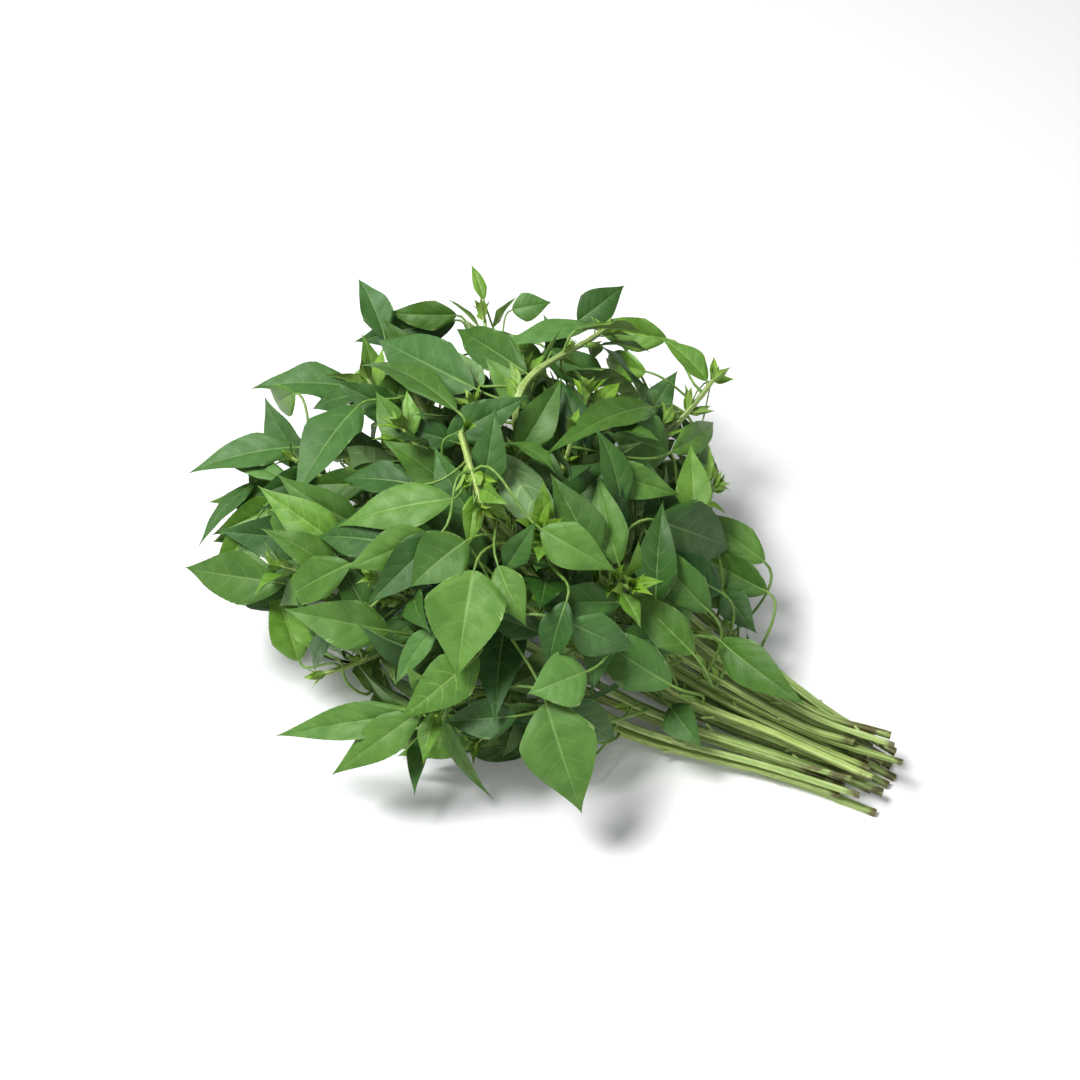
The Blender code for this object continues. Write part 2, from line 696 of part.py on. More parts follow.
def stem_path(slot, tip, passed, lowest_row, loose, rng):
    """The way of one stem, from its cut end through the pile and out to its tip."""
    across, up = slot
    reach = (tip - Vector((NECK_X, 0.0, 12.0))).length
    above = up - STEM_HALF
    floor = STEM_HALF if lowest_row else STEM_HALF * 1.5
    stray = LOOSE_STRAY if loose else PILE_STRAY
    rise = 0.0 if lowest_row else rng.uniform(0.0, LOOSE_RISE if loose else PILE_STRAY)
    cut_x = CUT_X + rng.uniform(-CUT_SCATTER, CUT_SCATTER)
    grip_y = across * GRIP_SPREAD + rng.uniform(-PILE_STRAY, PILE_STRAY)
    points = [
        Vector((cut_x, across + rng.uniform(-stray, stray), up + rise)),
        Vector((GRIP_X, grip_y, STEM_HALF + above * GRIP_RISE)),
        Vector((NECK_X, across * NECK_SPREAD, STEM_HALF + above * NECK_RISE)),
    ]
    neck = points[-1]
    if lowest_row:
        run = min(FLOOR_RUN, reach * FLOOR_SHARE)
        sideways = (tip.y - neck.y) * FLOOR_SHARE
        points.append(Vector((NECK_X - run * FLOOR_BEND, neck.y + sideways * 0.5, STEM_HALF)))
        points.append(Vector((NECK_X - run, neck.y + sideways, STEM_HALF)))
    else:
        goal = passed[0] if passed else tip
        onward = Vector((-1.0, across * FAN_SLOPE, above * FAN_SLOPE)).normalized()
        ahead = neck + onward * ((goal - neck).length * AHEAD_SHARE)
        inner = DOME_CENTRE + (goal - DOME_CENTRE) * INNER_SHARE
        points.append(ahead.lerp(inner, rng.uniform(*INNER_MIX)))
        points += [p.copy() for p in passed]
    points.append(tip.copy())
    return Path(points, floor)


def grow_stems(crowd, rng):
    """All stems, each clear of the ones before it."""
    slots = stacked_slots()
    targets = matched_tips(slots, tip_targets(len(slots)))
    stems = []
    for number, (slot, (name, tip, passed)) in enumerate(zip(slots, targets)):
        lowest_row = number < PILE_ROWS[0]
        loose = number >= sum(PILE_ROWS[:-LOOSE_ROWS])
        for attempt in range(STEM_TRIES):
            sway = 0.0 if attempt == 0 else FIRST_SWAY + attempt * SWAY_STEP
            drift = Vector(rng.uniform(-sway, sway) for _ in range(3))
            goal = tip + drift * (PASSED_SWAY if passed else 1.0)
            path = stem_path(slot, goal, passed, lowest_row, loose, rng)
            roll = 0.0 if lowest_row else rng.uniform(*ROLLS)
            girth = 1.0 if lowest_row else rng.uniform(*GIRTHS)
            stem = Stem(name, path, roll, girth)
            verts, faces = stem_shell(stem, STEM_GAP)
            if crowd.clear(verts, faces):
                break
        else:
            continue
        verts, faces = stem_shell(stem, STEM_GAP)
        crowd.add(verts, faces, ("stem", len(stems)))
        stem.number = len(stems)
        stem.core = BVHTree.FromPolygons(*stem_shell(stem, -ROOT_LIFT))
        stems.append(stem)
    return stems


def try_leaf(crowd, stem, joint, k, blade, stalk, stations):
    """Adds the leaf to the stem if nothing is in its way."""
    if k in joint["faces"]:
        return False
    sections = petiole_sections(stem, joint["at"], k, blade, stalk)
    sections += blade_sections(blade, stations)
    verts, faces = grown_shell(sections, blade)
    if not above_floor(verts) or not crowd.clear(verts, faces):
        return False
    if crowd.hides(verts, faces, bool(blade["name"])):
        return False
    root = stem.root_loop(joint["at"], k, ROOT_LIFT)
    beyond = sections[0]["centre"] + sections[0]["heading"] * 0.2
    verts, faces = leaf_shell([root, loop_points(sections[0])], beyond)
    if BVHTree.FromPolygons(verts, faces).overlap(stem.core):
        return False
    verts, faces = leaf_shell([root, loop_points(sections[0], CLEARANCE)], beyond)
    if not crowd.clear(verts, faces, skip=(("stem", stem.number),)):
        return False
    stem.add(joint, {"face": k, "sections": sections, "blade": blade})
    loops = [loop_points(s) for s in sections]
    verts, faces = leaf_shell([root] + loops, blade["tip"])
    crowd.add(verts, faces, ("leaf", stem.number))
    return True


def seen_blade(name, push):
    """A leaf of the photograph, pushed along the line of sight."""
    base_pixel, tip_pixel, width, roll, base_lift, tip_lift = SEEN_LEAVES[name]
    base = seen_on_dome(base_pixel, base_lift - push)
    tip = seen_on_dome(tip_pixel, tip_lift - push)
    heading = (tip - base).normalized()
    towards_eye = (VIEW_EYE - (base + tip) / 2).normalized()
    facing = towards_eye * EYE_SHARE + dome_outward((base + tip) / 2) * (1.0 - EYE_SHARE)
    up = (facing - heading * facing.dot(heading)).normalized()
    up = Matrix.Rotation(math.radians(roll), 3, heading) @ up
    return {
        "name": name, "base": base, "tip": tip, "up": up, "width": width,
        "arch": SEEN_ARCH, "fold": math.radians(SEEN_FOLD),
    }


def joint_candidates(stems, blade, reach):
    """Places on the stems from which a blade's stalk could come, best first."""
    chord = (blade["tip"] - blade["base"]).normalized()
    wanted = blade["base"] - chord * STALK_BACK - VIEW_BACK * STALK_DEPTH
    found = []
    for stem in stems:
        for distance in np.arange(FIRST_JOINT, stem.path.length - LAST_JOINT, JOINT_STEP):
            place = stem.path.at(distance)[0]
            if place.x > NECK_X + JOINT_LIMIT or (place - wanted).length > reach:
                continue
            for k in range(4):
                root, outward = stem.face(distance, k)
                run = blade["base"] - root
                facing = outward.dot(run.normalized())
                follow = chord.dot(run.normalized())
                if run.length < SHORTEST_STALK or facing < LEAST_FACING or follow < LEAST_FOLLOW:
                    continue
                cost = (root - wanted).length + LONG_COST * max(0.0, run.length - LONG_STALK)
                cost += BEND_COST * (1.0 - facing) + TURN_COST * (1.0 - follow)
                found.append((cost, stem.number, distance, k))
    return sorted(found)


def hang_blade(crowd, stems, blade, stalk, stations, reach, tries):
    """Grows a blade in its given place from the first stem joint whose stalk gets there."""
    verts, faces = grown_shell(blade_sections(blade, stations), blade)
    if not above_floor(verts) or not crowd.clear(verts, faces):
        return False
    if crowd.hides(verts, faces, bool(blade["name"])):
        return False
    for _, number, distance, k in joint_candidates(stems, blade, reach)[:tries]:
        joint = stems[number].free_joint(distance)
        if joint is None:
            continue
        if try_leaf(crowd, stems[number], joint, k, blade, stalk, stations):
            return True
    return False


def place_seen_leaves(crowd, stems):
    """Leaves of the photograph, each as near to its place as the others allow."""
    for name in SEEN_LEAVES:
        for push in PUSHES:
            blade = seen_blade(name, push)
            if hang_blade(
                    crowd, stems, blade, SEEN_STALK, SEEN_BLADE, SEEN_REACH, SEEN_JOINTS):
                crowd.keep_seen(blade)
                break


def ruled_blade(stem, distance, k, length, width, upright, rng):
    """A leaf grown by rule: out of the stem's face, towards the light and the dome's edge."""
    root, outward = stem.face(distance, k)
    heading = stem.frame(distance)[1]
    light = dome_outward(root)
    depth = to_unit(root - DOME_CENTRE).length
    scatter = Vector(rng.gauss(0.0, SCATTER) for _ in range(3))
    if upright:
        off, along, stray = YOUNG_LEAD
        lead = outward * off + heading * along + scatter * stray
        stalk = length * YOUNG_STALK[0] + YOUNG_STALK[1]
        straight, along, off = YOUNG_COURSE
        course = lead.normalized() * straight + heading * along + outward * off
    else:
        off, along, stray = LEAD
        lead = outward * off + heading * along + scatter * stray
        stalk = rng.uniform(*STALK_LENGTHS)
        off, along, free = COURSE
        course = outward * off + heading * along + light * free + scatter
        flat = min(1.0, max(0.0, depth - DEPTH_START) * DEPTH_GAIN)
        course -= light * (course.dot(light) * flat)
        course.z -= rng.uniform(*SINKS)
    base = root + lead.normalized() * stalk
    course.normalize()
    up = heading * UP_MIX[0] + light * UP_MIX[1]
    up += Vector(rng.gauss(0.0, UP_SCATTER) for _ in range(3))
    up = (up - course * up.dot(course)).normalized()
    return {
        "name": "", "base": base, "tip": base + course * length, "up": up, "width": width,
        "arch": rng.uniform(*ARCHES), "fold": math.radians(rng.uniform(*FOLDS)),
    }


def within_bunch(blade):
    """Whether a leaf grown by rule keeps to the foliage that the photograph shows."""
    if blade["tip"].x > NECK_X + PAST_NECK:
        return False
    if to_unit(blade["tip"] - DOME_CENTRE).length > DOME_REACH:
        return False
    middle = blade["base"].lerp(blade["tip"], 0.5)
    return inside_edge(pixel_of(blade["tip"])) and inside_edge(pixel_of(middle))


def grow_pair(crowd, stem, pair, rng, tries):
    """Two leaves on opposite faces of one joint, each pair turned from the last."""
    below, length, width = LEAF_PAIRS[pair]
    distance = stem.path.length - below
    if stem.path.at(distance)[0].x > NECK_X + PAIR_PAST_NECK:
        return
    joint = stem.free_joint(distance)
    if joint is None:
        return
    small = pair < ROSETTE_PAIRS
    stalk = SMALL_STALK if small else FILL_STALK
    stations = SMALL_BLADE if small else FILL_BLADE
    for k in (pair % 2, pair % 2 + 2):
        for attempt in range(tries):
            scale = rng.uniform(*SIZES) * (1.0 - SHRINK * attempt / tries)
            blade = ruled_blade(stem, distance, k, length * scale, width * scale, small, rng)
            if not within_bunch(blade):
                continue
            if try_leaf(crowd, stem, joint, k, blade, stalk, stations):
                break


def gap_spots():
    """Places on the dome, each with the direction from which it is looked into."""
    spots = []
    for down in range(*SPOT_ROWS, SPOT_PIXELS):
        for across in range(*SPOT_COLUMNS, SPOT_PIXELS):
            if inside_edge((across, down)):
                spots.append((seen_on_dome((across, down), 0.0), -sight_line((across, down))))
    for i in range(GAP_SPOTS):
        lift = 1.0 - SPOT_REACH * (i + 0.5) / GAP_SPOTS
        ring = math.sqrt(1.0 - lift * lift)
        turn = i * GOLDEN_ANGLE
        unit = Vector((math.cos(turn) * ring, math.sin(turn) * ring, lift))
        spot = DOME_CENTRE + Vector(u * r for u, r in zip(unit, DOME_RADII))
        if spot.x < NECK_X + SPOT_PAST_NECK and spot.z > SPOT_LOWEST:
            spots.append((spot, dome_outward(spot)))
    return spots


def gap_blade(spot, outward, shrink, rng):
    """A leaf lying over a gap, its tip away from the neck."""
    length = rng.uniform(*GAP_LENGTHS) * (1.0 - GAP_SHRINK * shrink)
    away = to_unit(spot - DOME_CENTRE)
    course = Vector((GAP_COURSE[0], GAP_COURSE[1] * away.y, 0.0))
    course += Vector(rng.gauss(0.0, COURSE_SCATTER) for _ in range(3))
    course -= outward * (course.dot(outward) + rng.uniform(*TILTS))
    course.normalize()
    middle = spot - outward * rng.uniform(*GAP_DEPTHS)
    up = outward + Vector(rng.gauss(0.0, UP_SCATTER) for _ in range(3))
    return {
        "name": "", "base": middle - course * length * 0.5,
        "tip": middle + course * length * 0.5,
        "up": (up - course * up.dot(course)).normalized(),
        "width": length * rng.uniform(*GAP_SLENDERNESS),
        "arch": rng.uniform(*GAP_ARCHES), "fold": math.radians(rng.uniform(*GAP_FOLDS)),
    }


def close_gaps(crowd, stems, rng):
    """Leaves laid over the places where the dome can still be looked into."""
    for spot, outward in gap_spots():
        if crowd.meets(spot + outward * LOOK_FROM, -outward, GAP_DEPTH):
            continue
        for attempt in range(GAP_TRIES):
            blade = gap_blade(spot, outward, attempt / GAP_TRIES, rng)
            if not within_bunch(blade):
                continue
            if hang_blade(crowd, stems, blade, FILL_STALK, FILL_BLADE, FILL_REACH, FILL_JOINTS):
                break


def grow_leaves(crowd, stems, rng):
    """Small leaves at the seen tips, then the seen leaves, then all the rest by rule."""
    seen = [s for s in stems if s.name in SEEN_TIPS]
    for stem in seen:
        for pair in range(ROSETTE_PAIRS):
            grow_pair(crowd, stem, pair, rng, TIP_TRIES)
    place_seen_leaves(crowd, stems)
    for pair in range(OUTER_PAIRS):
        for stem in stems:
            if pair >= ROSETTE_PAIRS or stem not in seen:
                grow_pair(crowd, stem, pair, rng, OUTER_TRIES)
    close_gaps(crowd, stems, rng)
    for pair in range(OUTER_PAIRS, len(LEAF_PAIRS)):
        for stem in stems:
            grow_pair(crowd, stem, pair, rng, INNER_TRIES)


def stem_rings(stem):
    """Distances of a stem's rings: two at each joint, more where a stretch is long."""
    last = stem.path.length - BUD_LENGTH * 0.5
    marks = [0.0]
    for joint in sorted(stem.joints, key=lambda j: j["at"]):
        marks += [joint["at"] - NODE_HALF, joint["at"] + NODE_HALF]
    marks.append(max(last, marks[-1] + 0.8))
    rings = []
    for a, b in zip(marks, marks[1:]):
        rings.append(a)
        parts = math.ceil((b - a) / STEM_STEP)
        rings += [a + (b - a) * i / parts for i in range(1, parts)]
    rings.append(marks[-1])
    return rings


def sprig_mesh(stem):
    """Closed shell of a stem with its leaves, each leaf grown out of one face of a joint."""
    verts = []
    faces = []
    owners = []

    def add_loop(points):
        verts.extend(points)
        return list(range(len(verts) - len(points), len(verts)))

    rings = stem_rings(stem)
    loops = [add_loop(stem.ring(d)) for d in rings]
    joints = {round(j["at"] - NODE_HALF, 4): j for j in stem.joints}
    faces += [tuple(reversed(loops[0][:3])), (loops[0][3], loops[0][2], loops[0][0])]
    for distance, a, b in zip(rings, loops, loops[1:]):
        joint = joints.get(round(distance, 4), {"faces": {}})
        for k in range(4):
            n = (k + 1) % 4
            leaf = joint["faces"].get(k)
            if leaf is None:
                faces += [(a[k], a[n], b[n]), (a[k], b[n], b[k])]
                continue
            root = [a[k], a[n], b[n], b[k]]
            owners += [None] * (len(faces) - len(owners))
            for part in leaf["sections"]:
                following = add_loop(loop_points(part))
                faces += bridge(turned(root, following, verts), following)
                root = following
            faces += fan(root, add_loop([leaf["blade"]["tip"]])[0])
            owners += [leaf] * (len(faces) - len(owners))
    tip = add_loop([stem.path.points[-1] + stem.path.frames[-1][0] * BUD_LENGTH])[0]
    faces += fan(loops[-1], tip)
    owners += [None] * (len(faces) - len(owners))
    return verts, faces, owners


def swollen(verts, faces, grow):
    """The same vertices moved outward along the mean of their faces' normals."""
    normals = [Vector() for _ in verts]
    for a, b, c in faces:
        normal = (verts[b] - verts[a]).cross(verts[c] - verts[a]).normalized()
        for i in (a, b, c):
            normals[i] += normal
    return [v + n.normalized() * grow for v, n in zip(verts, normals)]


def touching_leaves(stems):
    """Leaves that touch another sprig or another part of their own."""
    shells = [sprig_mesh(stem) for stem in stems]
    trees = [BVHTree.FromPolygons(v, f) for v, f, _ in shells]
    found = []

    def blame(first, second):
        culprits = [leaf for leaf in (first, second) if leaf is not None]
        if culprits:
            found.append(min(culprits, key=lambda leaf: bool(leaf["blade"]["name"])))

    for i, (verts, faces, owners) in enumerate(shells):
        for p, q in trees[i].overlap(trees[i]):
            if p < q and not set(faces[p]) & set(faces[q]):
                blame(owners[p], owners[q])
        wide = BVHTree.FromPolygons(swollen(verts, faces, LEAST_GAP), faces)
        for j in range(len(shells)):
            if j != i:
                for p, q in wide.overlap(trees[j]):
                    blame(owners[p], shells[j][2][q])
    return found


def drop_touching(stems):
    """Takes off every leaf that still touches something, until none does."""
    touching = touching_leaves(stems)
    while touching:
        for stem in stems:
            for joint in stem.joints:
                for k, leaf in list(joint["faces"].items()):
                    if any(leaf is other for other in touching):
                        del joint["faces"][k]
                        stem.leaves.remove(leaf)
        touching = touching_leaves(stems)


def plain_material(name, colour, roughness):
    material = bpy.data.materials.new(name)
    material.use_nodes = True
    shader = material.node_tree.nodes["Principled BSDF"]
    shader.inputs["Base Color"].default_value = colour
    shader.inputs["Roughness"].default_value = roughness
    shader.inputs["Metallic"].default_value = 0.0
    return material


def make_object(number, verts, faces, centre):
    name = f"sprig_{number + 1:02d}"
    mesh = bpy.data.meshes.new(name)
    mesh.from_pydata([(v - centre) * METRE for v in verts], [], faces)
    mesh.validate()
    shade = SOLID_SHADES[0] + SOLID_SHADES[1] * ((number * 7) % 10) / 10
    colour = (*(value * shade for value in SOLID_GREEN), 1.0)
    mesh.materials.append(plain_material(name + "_leaf", colour, SOLID_ROUGHNESS))
    thing = bpy.data.objects.new(name, mesh)
    bpy.context.scene.collection.objects.link(thing)
    return thing


def grow_bunch():
    """All sprigs of the bunch, in millimetres."""
    rng = random.Random(SEED)
    crowd = Crowd()
    stems = grow_stems(crowd, rng)
    grow_leaves(crowd, stems, rng)
    drop_touching(stems)
    return stems


def footprint_centre(shells):
    """Point below the middle of the whole bunch, on the surface it lies on."""
    places = np.array([tuple(v) for verts, _, _ in shells for v in verts])
    low = places.min(axis=0)
    high = places.max(axis=0)
    return Vector(((low[0] + high[0]) / 2, (low[1] + high[1]) / 2, low[2]))


def main():
    for thing in list(bpy.data.objects):
        bpy.data.objects.remove(thing, do_unlink=True)
    stems = grow_bunch()
    shells = [sprig_mesh(stem) for stem in stems]
    centre = footprint_centre(shells)
    for number, (verts, faces, _) in enumerate(shells):
        make_object(number, verts, faces, centre)


main()
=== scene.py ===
"""The looks of a bunch of lemon basil: fine leaves, stems and shoot tips, floor, light and camera.

The layout is grown by the same rule and from the same values as the plain solids, so that every
fine leaf lies where its solid lies. Lengths are millimetres until a mesh is made, in metres.
The bunch lies along X: cut ends at +X, leafy tips at -X, and Z is up.
A point seen in the photograph is a pixel (across, down) of a square frame.
"""

import math
import random

import bpy
import numpy as np
from mathutils import Matrix, Vector
from mathutils.bvhtree import BVHTree

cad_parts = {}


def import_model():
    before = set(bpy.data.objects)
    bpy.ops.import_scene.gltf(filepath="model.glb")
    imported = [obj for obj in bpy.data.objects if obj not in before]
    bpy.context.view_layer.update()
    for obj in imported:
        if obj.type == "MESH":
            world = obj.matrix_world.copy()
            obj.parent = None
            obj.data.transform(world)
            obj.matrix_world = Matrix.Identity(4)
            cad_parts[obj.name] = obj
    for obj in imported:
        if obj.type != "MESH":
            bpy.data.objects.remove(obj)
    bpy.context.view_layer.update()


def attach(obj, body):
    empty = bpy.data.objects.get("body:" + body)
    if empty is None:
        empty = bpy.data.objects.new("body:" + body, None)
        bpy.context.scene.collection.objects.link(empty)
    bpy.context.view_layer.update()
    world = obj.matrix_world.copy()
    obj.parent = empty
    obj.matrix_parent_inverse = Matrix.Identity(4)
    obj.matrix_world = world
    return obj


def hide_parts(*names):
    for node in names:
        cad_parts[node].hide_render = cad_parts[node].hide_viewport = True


SEED = 13
METRE = 0.001
GOLDEN_ANGLE = math.pi * (3.0 - math.sqrt(5.0))

# The whole bunch
CUT_X = 144.0            # mean place of the cut ends
CUT_SCATTER = 12.0       # how unevenly the ends are cut
NECK_X = 52.0            # where the leaves begin
GRIP_X = 108.0           # where the gathered stems are held closest
STEM_PITCH = 4.6         # from one stem to the next in the pile
PILE_ROWS = (6, 7, 7, 6, 4, 2)   # stems in each row, from the surface up
PILE_STRAY = 0.9         # how far a stem strays from its place in the pile
LOOSE_ROWS = 2           # rows at the top, whose stems lie across the others
LOOSE_STRAY = 8.0        # how far their cut ends stray sideways
LOOSE_RISE = 2.5         # and upwards
GRIP_SPREAD = 1.42       # width of the pile here, next to its width at the ends
GRIP_RISE = 1.08         # its height in the same way
NECK_SPREAD = 2.5
NECK_RISE = 1.7
FLOOR_RUN = 118.0        # how far the lowest stems lie flat past the neck, at most
FLOOR_SHARE = 0.55       # and as a share of the way to their tips
UPPER_FLOOR = 1.5        # how high the other stems keep, in half sides
NECK_MIDDLE = Vector((NECK_X, 0.0, 12.0))

# Where a stem bends between the neck and its tip
FAN_SLOPE = 0.02         # outward turn at the neck, for each millimetre off the pile's axis
AHEAD_SHARE = 0.42
INNER_SHARE = 0.55
INNER_MIX = (0.35, 0.6)  # how far the bend is drawn from the stem's course into the dome
FLOOR_BEND = 0.55        # where along its flat run a lowest stem bends
FAN_FOOT = (30.0, 14.0)  # the point the tips fan out from: behind the neck, and up
TIP_FURTHEST_BACK = 0.5  # where the tips that aren't seen stop, in dome radii
TIP_LOWEST = -0.62
ROLLS = (-0.6, 0.6)      # turn of a stem about its own line
FIRST_SWAY = 3.0         # how far a tip may move where its stem finds no room
SWAY_STEP = 0.35
PASSED_SWAY = 0.3        # and the share of it where the photograph shows the stem

# One stem
STEM_HALF = 1.4          # half the side of the square stem at its cut end
STEM_TIP_HALF = 0.85
GIRTHS = (0.8, 1.12)     # how much thinner or thicker a stem may be
TAPER_RUN = 75.0         # length of shoot over which it narrows to its tip
STEM_STEP = 26.0         # longest stretch of stem between two rings
SHELL_STEP = 5.0         # and in the shell that is used for testing
PATH_STEP = 1.5
NODE_HALF = 1.7          # half the length of the joint that a leaf pair grows from
BUD_LENGTH = 3.2

# Leaf pairs on a shoot: distance below its tip, blade length and blade width
LEAF_PAIRS = (
    (3.4, 12.0, 4.8),
    (9.0, 21.0, 8.8),
    (18.0, 33.0, 14.5),
    (34.0, 44.0, 19.0),
    (55.0, 48.0, 21.5),
    (79.0, 46.0, 20.5),
    (104.0, 42.0, 18.5),
)
ROSETTE_PAIRS = 2        # the first pairs, which stay small and upright
OUTER_PAIRS = 4          # the pairs that are grown before gaps are closed
PAIR_PAST_NECK = 4.0     # how far past the neck a pair may grow by rule
GAP_SPOTS = 640          # places on the dome that are looked at for gaps
SPOT_REACH = 1.75        # how far down they go
SPOT_PAST_NECK = 6.0
SPOT_LOWEST = 6.0
SPOT_PIXELS = 17         # and every so many pixels of the photograph's view
SPOT_COLUMNS = (200, 760)
SPOT_ROWS = (280, 790)
GAP_DEPTH = 32.0         # how deep a line may reach before it counts as a gap
GAP_TRIES = 16
STEM_TRIES = 60
SEEN_JOINTS = 170        # joints tried for a leaf of the photograph
FILL_JOINTS = 40
PUSHES = (0, 2, 4, 6, 8, 10, 12, 15, 18, 22, 26, 30, -3, -6, -9, -12)
PETIOLE_HALF = 0.7
SEEN_REACH = 62.0        # farthest stem from which a seen leaf may hang
FILL_REACH = 34.0
BLADE_HALF_THICK = 0.65
BASE_HALF_WIDTH = 1.1
BULGE_AT = 0.45          # where along a blade its rise is greatest
STALK_LEAD = 0.45        # how long a stalk keeps to the way it leaves the stem
STALK_FOLLOW = 0.35      # and how long it is in line with its blade
WIDEST_POWER = 0.67      # places a blade's widest part a little before its middle
FULLNESS = 0.85
TIP_DRAWN = 0.45
CLEARANCE = 0.4          # kept round each leaf
STEM_GAP = 0.35          # kept round each stem
ROOT_LIFT = 0.25
ROOT_BEYOND = 0.2        # how far past its first section a stalk's root is tested
LEAST_GAP = 0.2
SAME_JOINT = 0.01        # joints closer than this are one joint
JOINT_GAP = 1.0          # least stretch of stem between two joints
LAST_RING_GAP = 0.8      # and between the last joint and the last ring

# The leafy dome that the tips reach
DOME_CENTRE = Vector((-38.0, 2.0, 46.0))
DOME_RADII = Vector((98.0, 98.0, 56.0))
LOWEST = 0.35
SEEN_LOWEST = LOWEST + BLADE_HALF_THICK + 1.0  # middle line of a leaf of the photograph
WHOLE_DOME = 2.0         # how far down a spread of directions goes, in dome radii
SWAP_GAIN = 1e-9         # least gain for which two stems change their tips

# How the photograph sees the bunch
IMAGE_SIZE = 1080.0
VIEW_AZIMUTH = math.radians(31.0)
VIEW_ELEVATION = math.radians(50.0)
VIEW_DISTANCE = 772.0
SENSOR_WIDTH = 36.0
FOCAL_OVER_SENSOR = 60.0 / 36.0
VIEW_AIM = Vector((-22.0, 14.0, 40.0))

# Shoot tips that the photograph shows: pixel, lift above the dome, pixels passed on the way
SEEN_TIPS = {
    "crown": ((481, 503), 7.0, ((462, 434),)),
    "curled": ((601, 332), 6.0, ((519, 395),)),
    "top": ((482, 312), 3.0, ()),
    "right_high": ((707, 378), 2.0, ()),
    "right_mid": ((716, 485), 2.0, ()),
    "left": ((285, 562), 2.0, ()),
    "left_low": ((426, 706), 4.0, ()),
    "near_neck": ((624, 590), 5.0, ()),
    "centre": ((541, 527), 2.0, ()),
    "left_high": ((368, 380), 3.0, ()),
}

# Leaves that the photograph shows, nearest first:
# pixel of the blade's base, pixel of its tip, width, roll towards the viewer in degrees,
# lift of the base and of the tip above the dome
SEEN_LEAVES = {
    "front": ((474, 570), (457, 679), 31.0, 8, 6.0, 9.0),
    "lower_front": ((546, 703), (582, 814), 30.0, 5, 6.0, 10.0),
    "ribbed_under": ((502, 454), (568, 545), 20.0, 165, 13.0, 14.0),
    "big_blue_left": ((359, 405), (293, 502), 24.0, 20, 5.0, 6.0),
    "upper_blue": ((474, 388), (374, 338), 25.0, -12, 6.0, 6.0),
    "pale_patch": ((482, 386), (432, 339), 12.0, 165, 12.0, 11.0),
    "olive_long": ((456, 410), (357, 361), 16.0, 35, 7.0, 5.0),
    "upper_left": ((354, 387), (249, 388), 20.0, 25, 2.0, 0.0),
    "far_left": ((296, 447), (186, 473), 18.0, 25, 0.0, 0.0),
    "bottom_left": ((284, 583), (184, 567), 22.0, -5, 0.0, 0.0),
    "mid_left": ((452, 499), (335, 526), 20.0, 18, 3.0, 3.0),
    "olive_mid": ((466, 541), (408, 588), 22.0, 10, 3.0, 2.0),
    "arching_right": ((655, 407), (545, 452), 18.0, 25, 5.0, 6.0),
    "bright_centre": ((541, 529), (617, 572), 18.0, 10, 3.0, 3.0),
    "round_pale": ((668, 452), (606, 432), 25.0, 0, 1.0, 2.0),
    "right_dark": ((655, 520), (731, 548), 26.0, 5, 2.0, 1.0),
    "over_stems": ((719, 640), (807, 706), 18.0, 15, 12.0, 12.0),
    "pale_low": ((586, 672), (527, 694), 22.0, 5, 7.0, 8.0),
    "grey_green": ((569, 622), (638, 650), 18.0, 20, 4.0, 4.0),
    "up_pointing": ((385, 337), (358, 277), 15.0, 20, 0.0, 0.0),
    "upper_second": ((526, 373), (455, 328), 18.0, -10, 2.0, 1.0),
    "long_arch": ((592, 326), (494, 349), 13.0, 25, 3.0, 3.0),
    "dark_upper_right": ((578, 322), (625, 285), 17.0, 10, 0.0, 0.0),
    "young_upper_right": ((605, 332), (612, 293), 8.0, 10, 5.0, 4.0),
    "right_sprig": ((707, 381), (660, 337), 13.0, 20, 0.0, 0.0),
    "round_top": ((512, 310), (552, 302), 13.0, 15, 0.0, 0.0),
    "top_bract": ((484, 300), (471, 263), 6.0, 10, 0.0, 0.0),
    "pale_far_left": ((291, 482), (208, 455), 11.0, 30, -3.0, -2.0),
    "narrow_left": ((255, 482), (197, 547), 11.0, 30, -4.0, -3.0),
    "curled_left": ((262, 553), (219, 573), 9.0, 30, 0.0, 0.0),
    "dark_low_left": ((333, 628), (313, 672), 9.0, 25, 0.0, -4.0),
    "lower_left_a": ((415, 714), (273, 736), 15.0, 20, 2.0, 0.0),
    "lower_left_b": ((420, 712), (330, 776), 16.0, 10, 4.0, 4.0),
    "lower_left_c": ((424, 734), (414, 796), 9.0, 20, 1.0, 1.0),
    "lower_left_d": ((438, 700), (493, 803), 9.0, 35, 3.0, 3.0),
    "mid_green_low": ((516, 716), (442, 722), 16.0, 10, 0.0, 0.0),
    "green_left": ((350, 564), (277, 607), 18.0, 15, 2.0, 2.0),
    "pale_narrow": ((438, 624), (394, 686), 10.0, 20, 3.0, 3.0),
    "behind_front": ((498, 566), (527, 628), 14.0, 10, 2.0, 2.0),
    "dark_behind_low": ((560, 700), (618, 741), 17.0, 5, 0.0, 0.0),
    "under_stems": ((670, 706), (702, 748), 15.0, 10, -4.0, -2.0),
    "behind_stem": ((722, 590), (757, 634), 14.0, 15, -4.0, -4.0),
    "right_edge": ((672, 452), (716, 421), 13.0, 15, -2.0, -2.0),
    "left_inner": ((413, 484), (341, 480), 15.0, 20, 1.0, 1.0),
    "left_lower_inner": ((391, 543), (316, 536), 17.0, 10, 1.0, 1.0),
    "left_pair": ((360, 395), (311, 409), 13.0, 20, 0.0, -2.0),
    "right_small_a": ((712, 378), (714, 356), 4.0, 10, 2.0, 2.0),
    "right_small_b": ((712, 380), (735, 379), 4.0, 10, 2.0, 2.0),
    "right_tip_a": ((716, 488), (741, 483), 6.0, 10, 2.0, 2.0),
    "right_tip_b": ((714, 484), (712, 464), 5.0, 10, 2.0, 2.0),
}

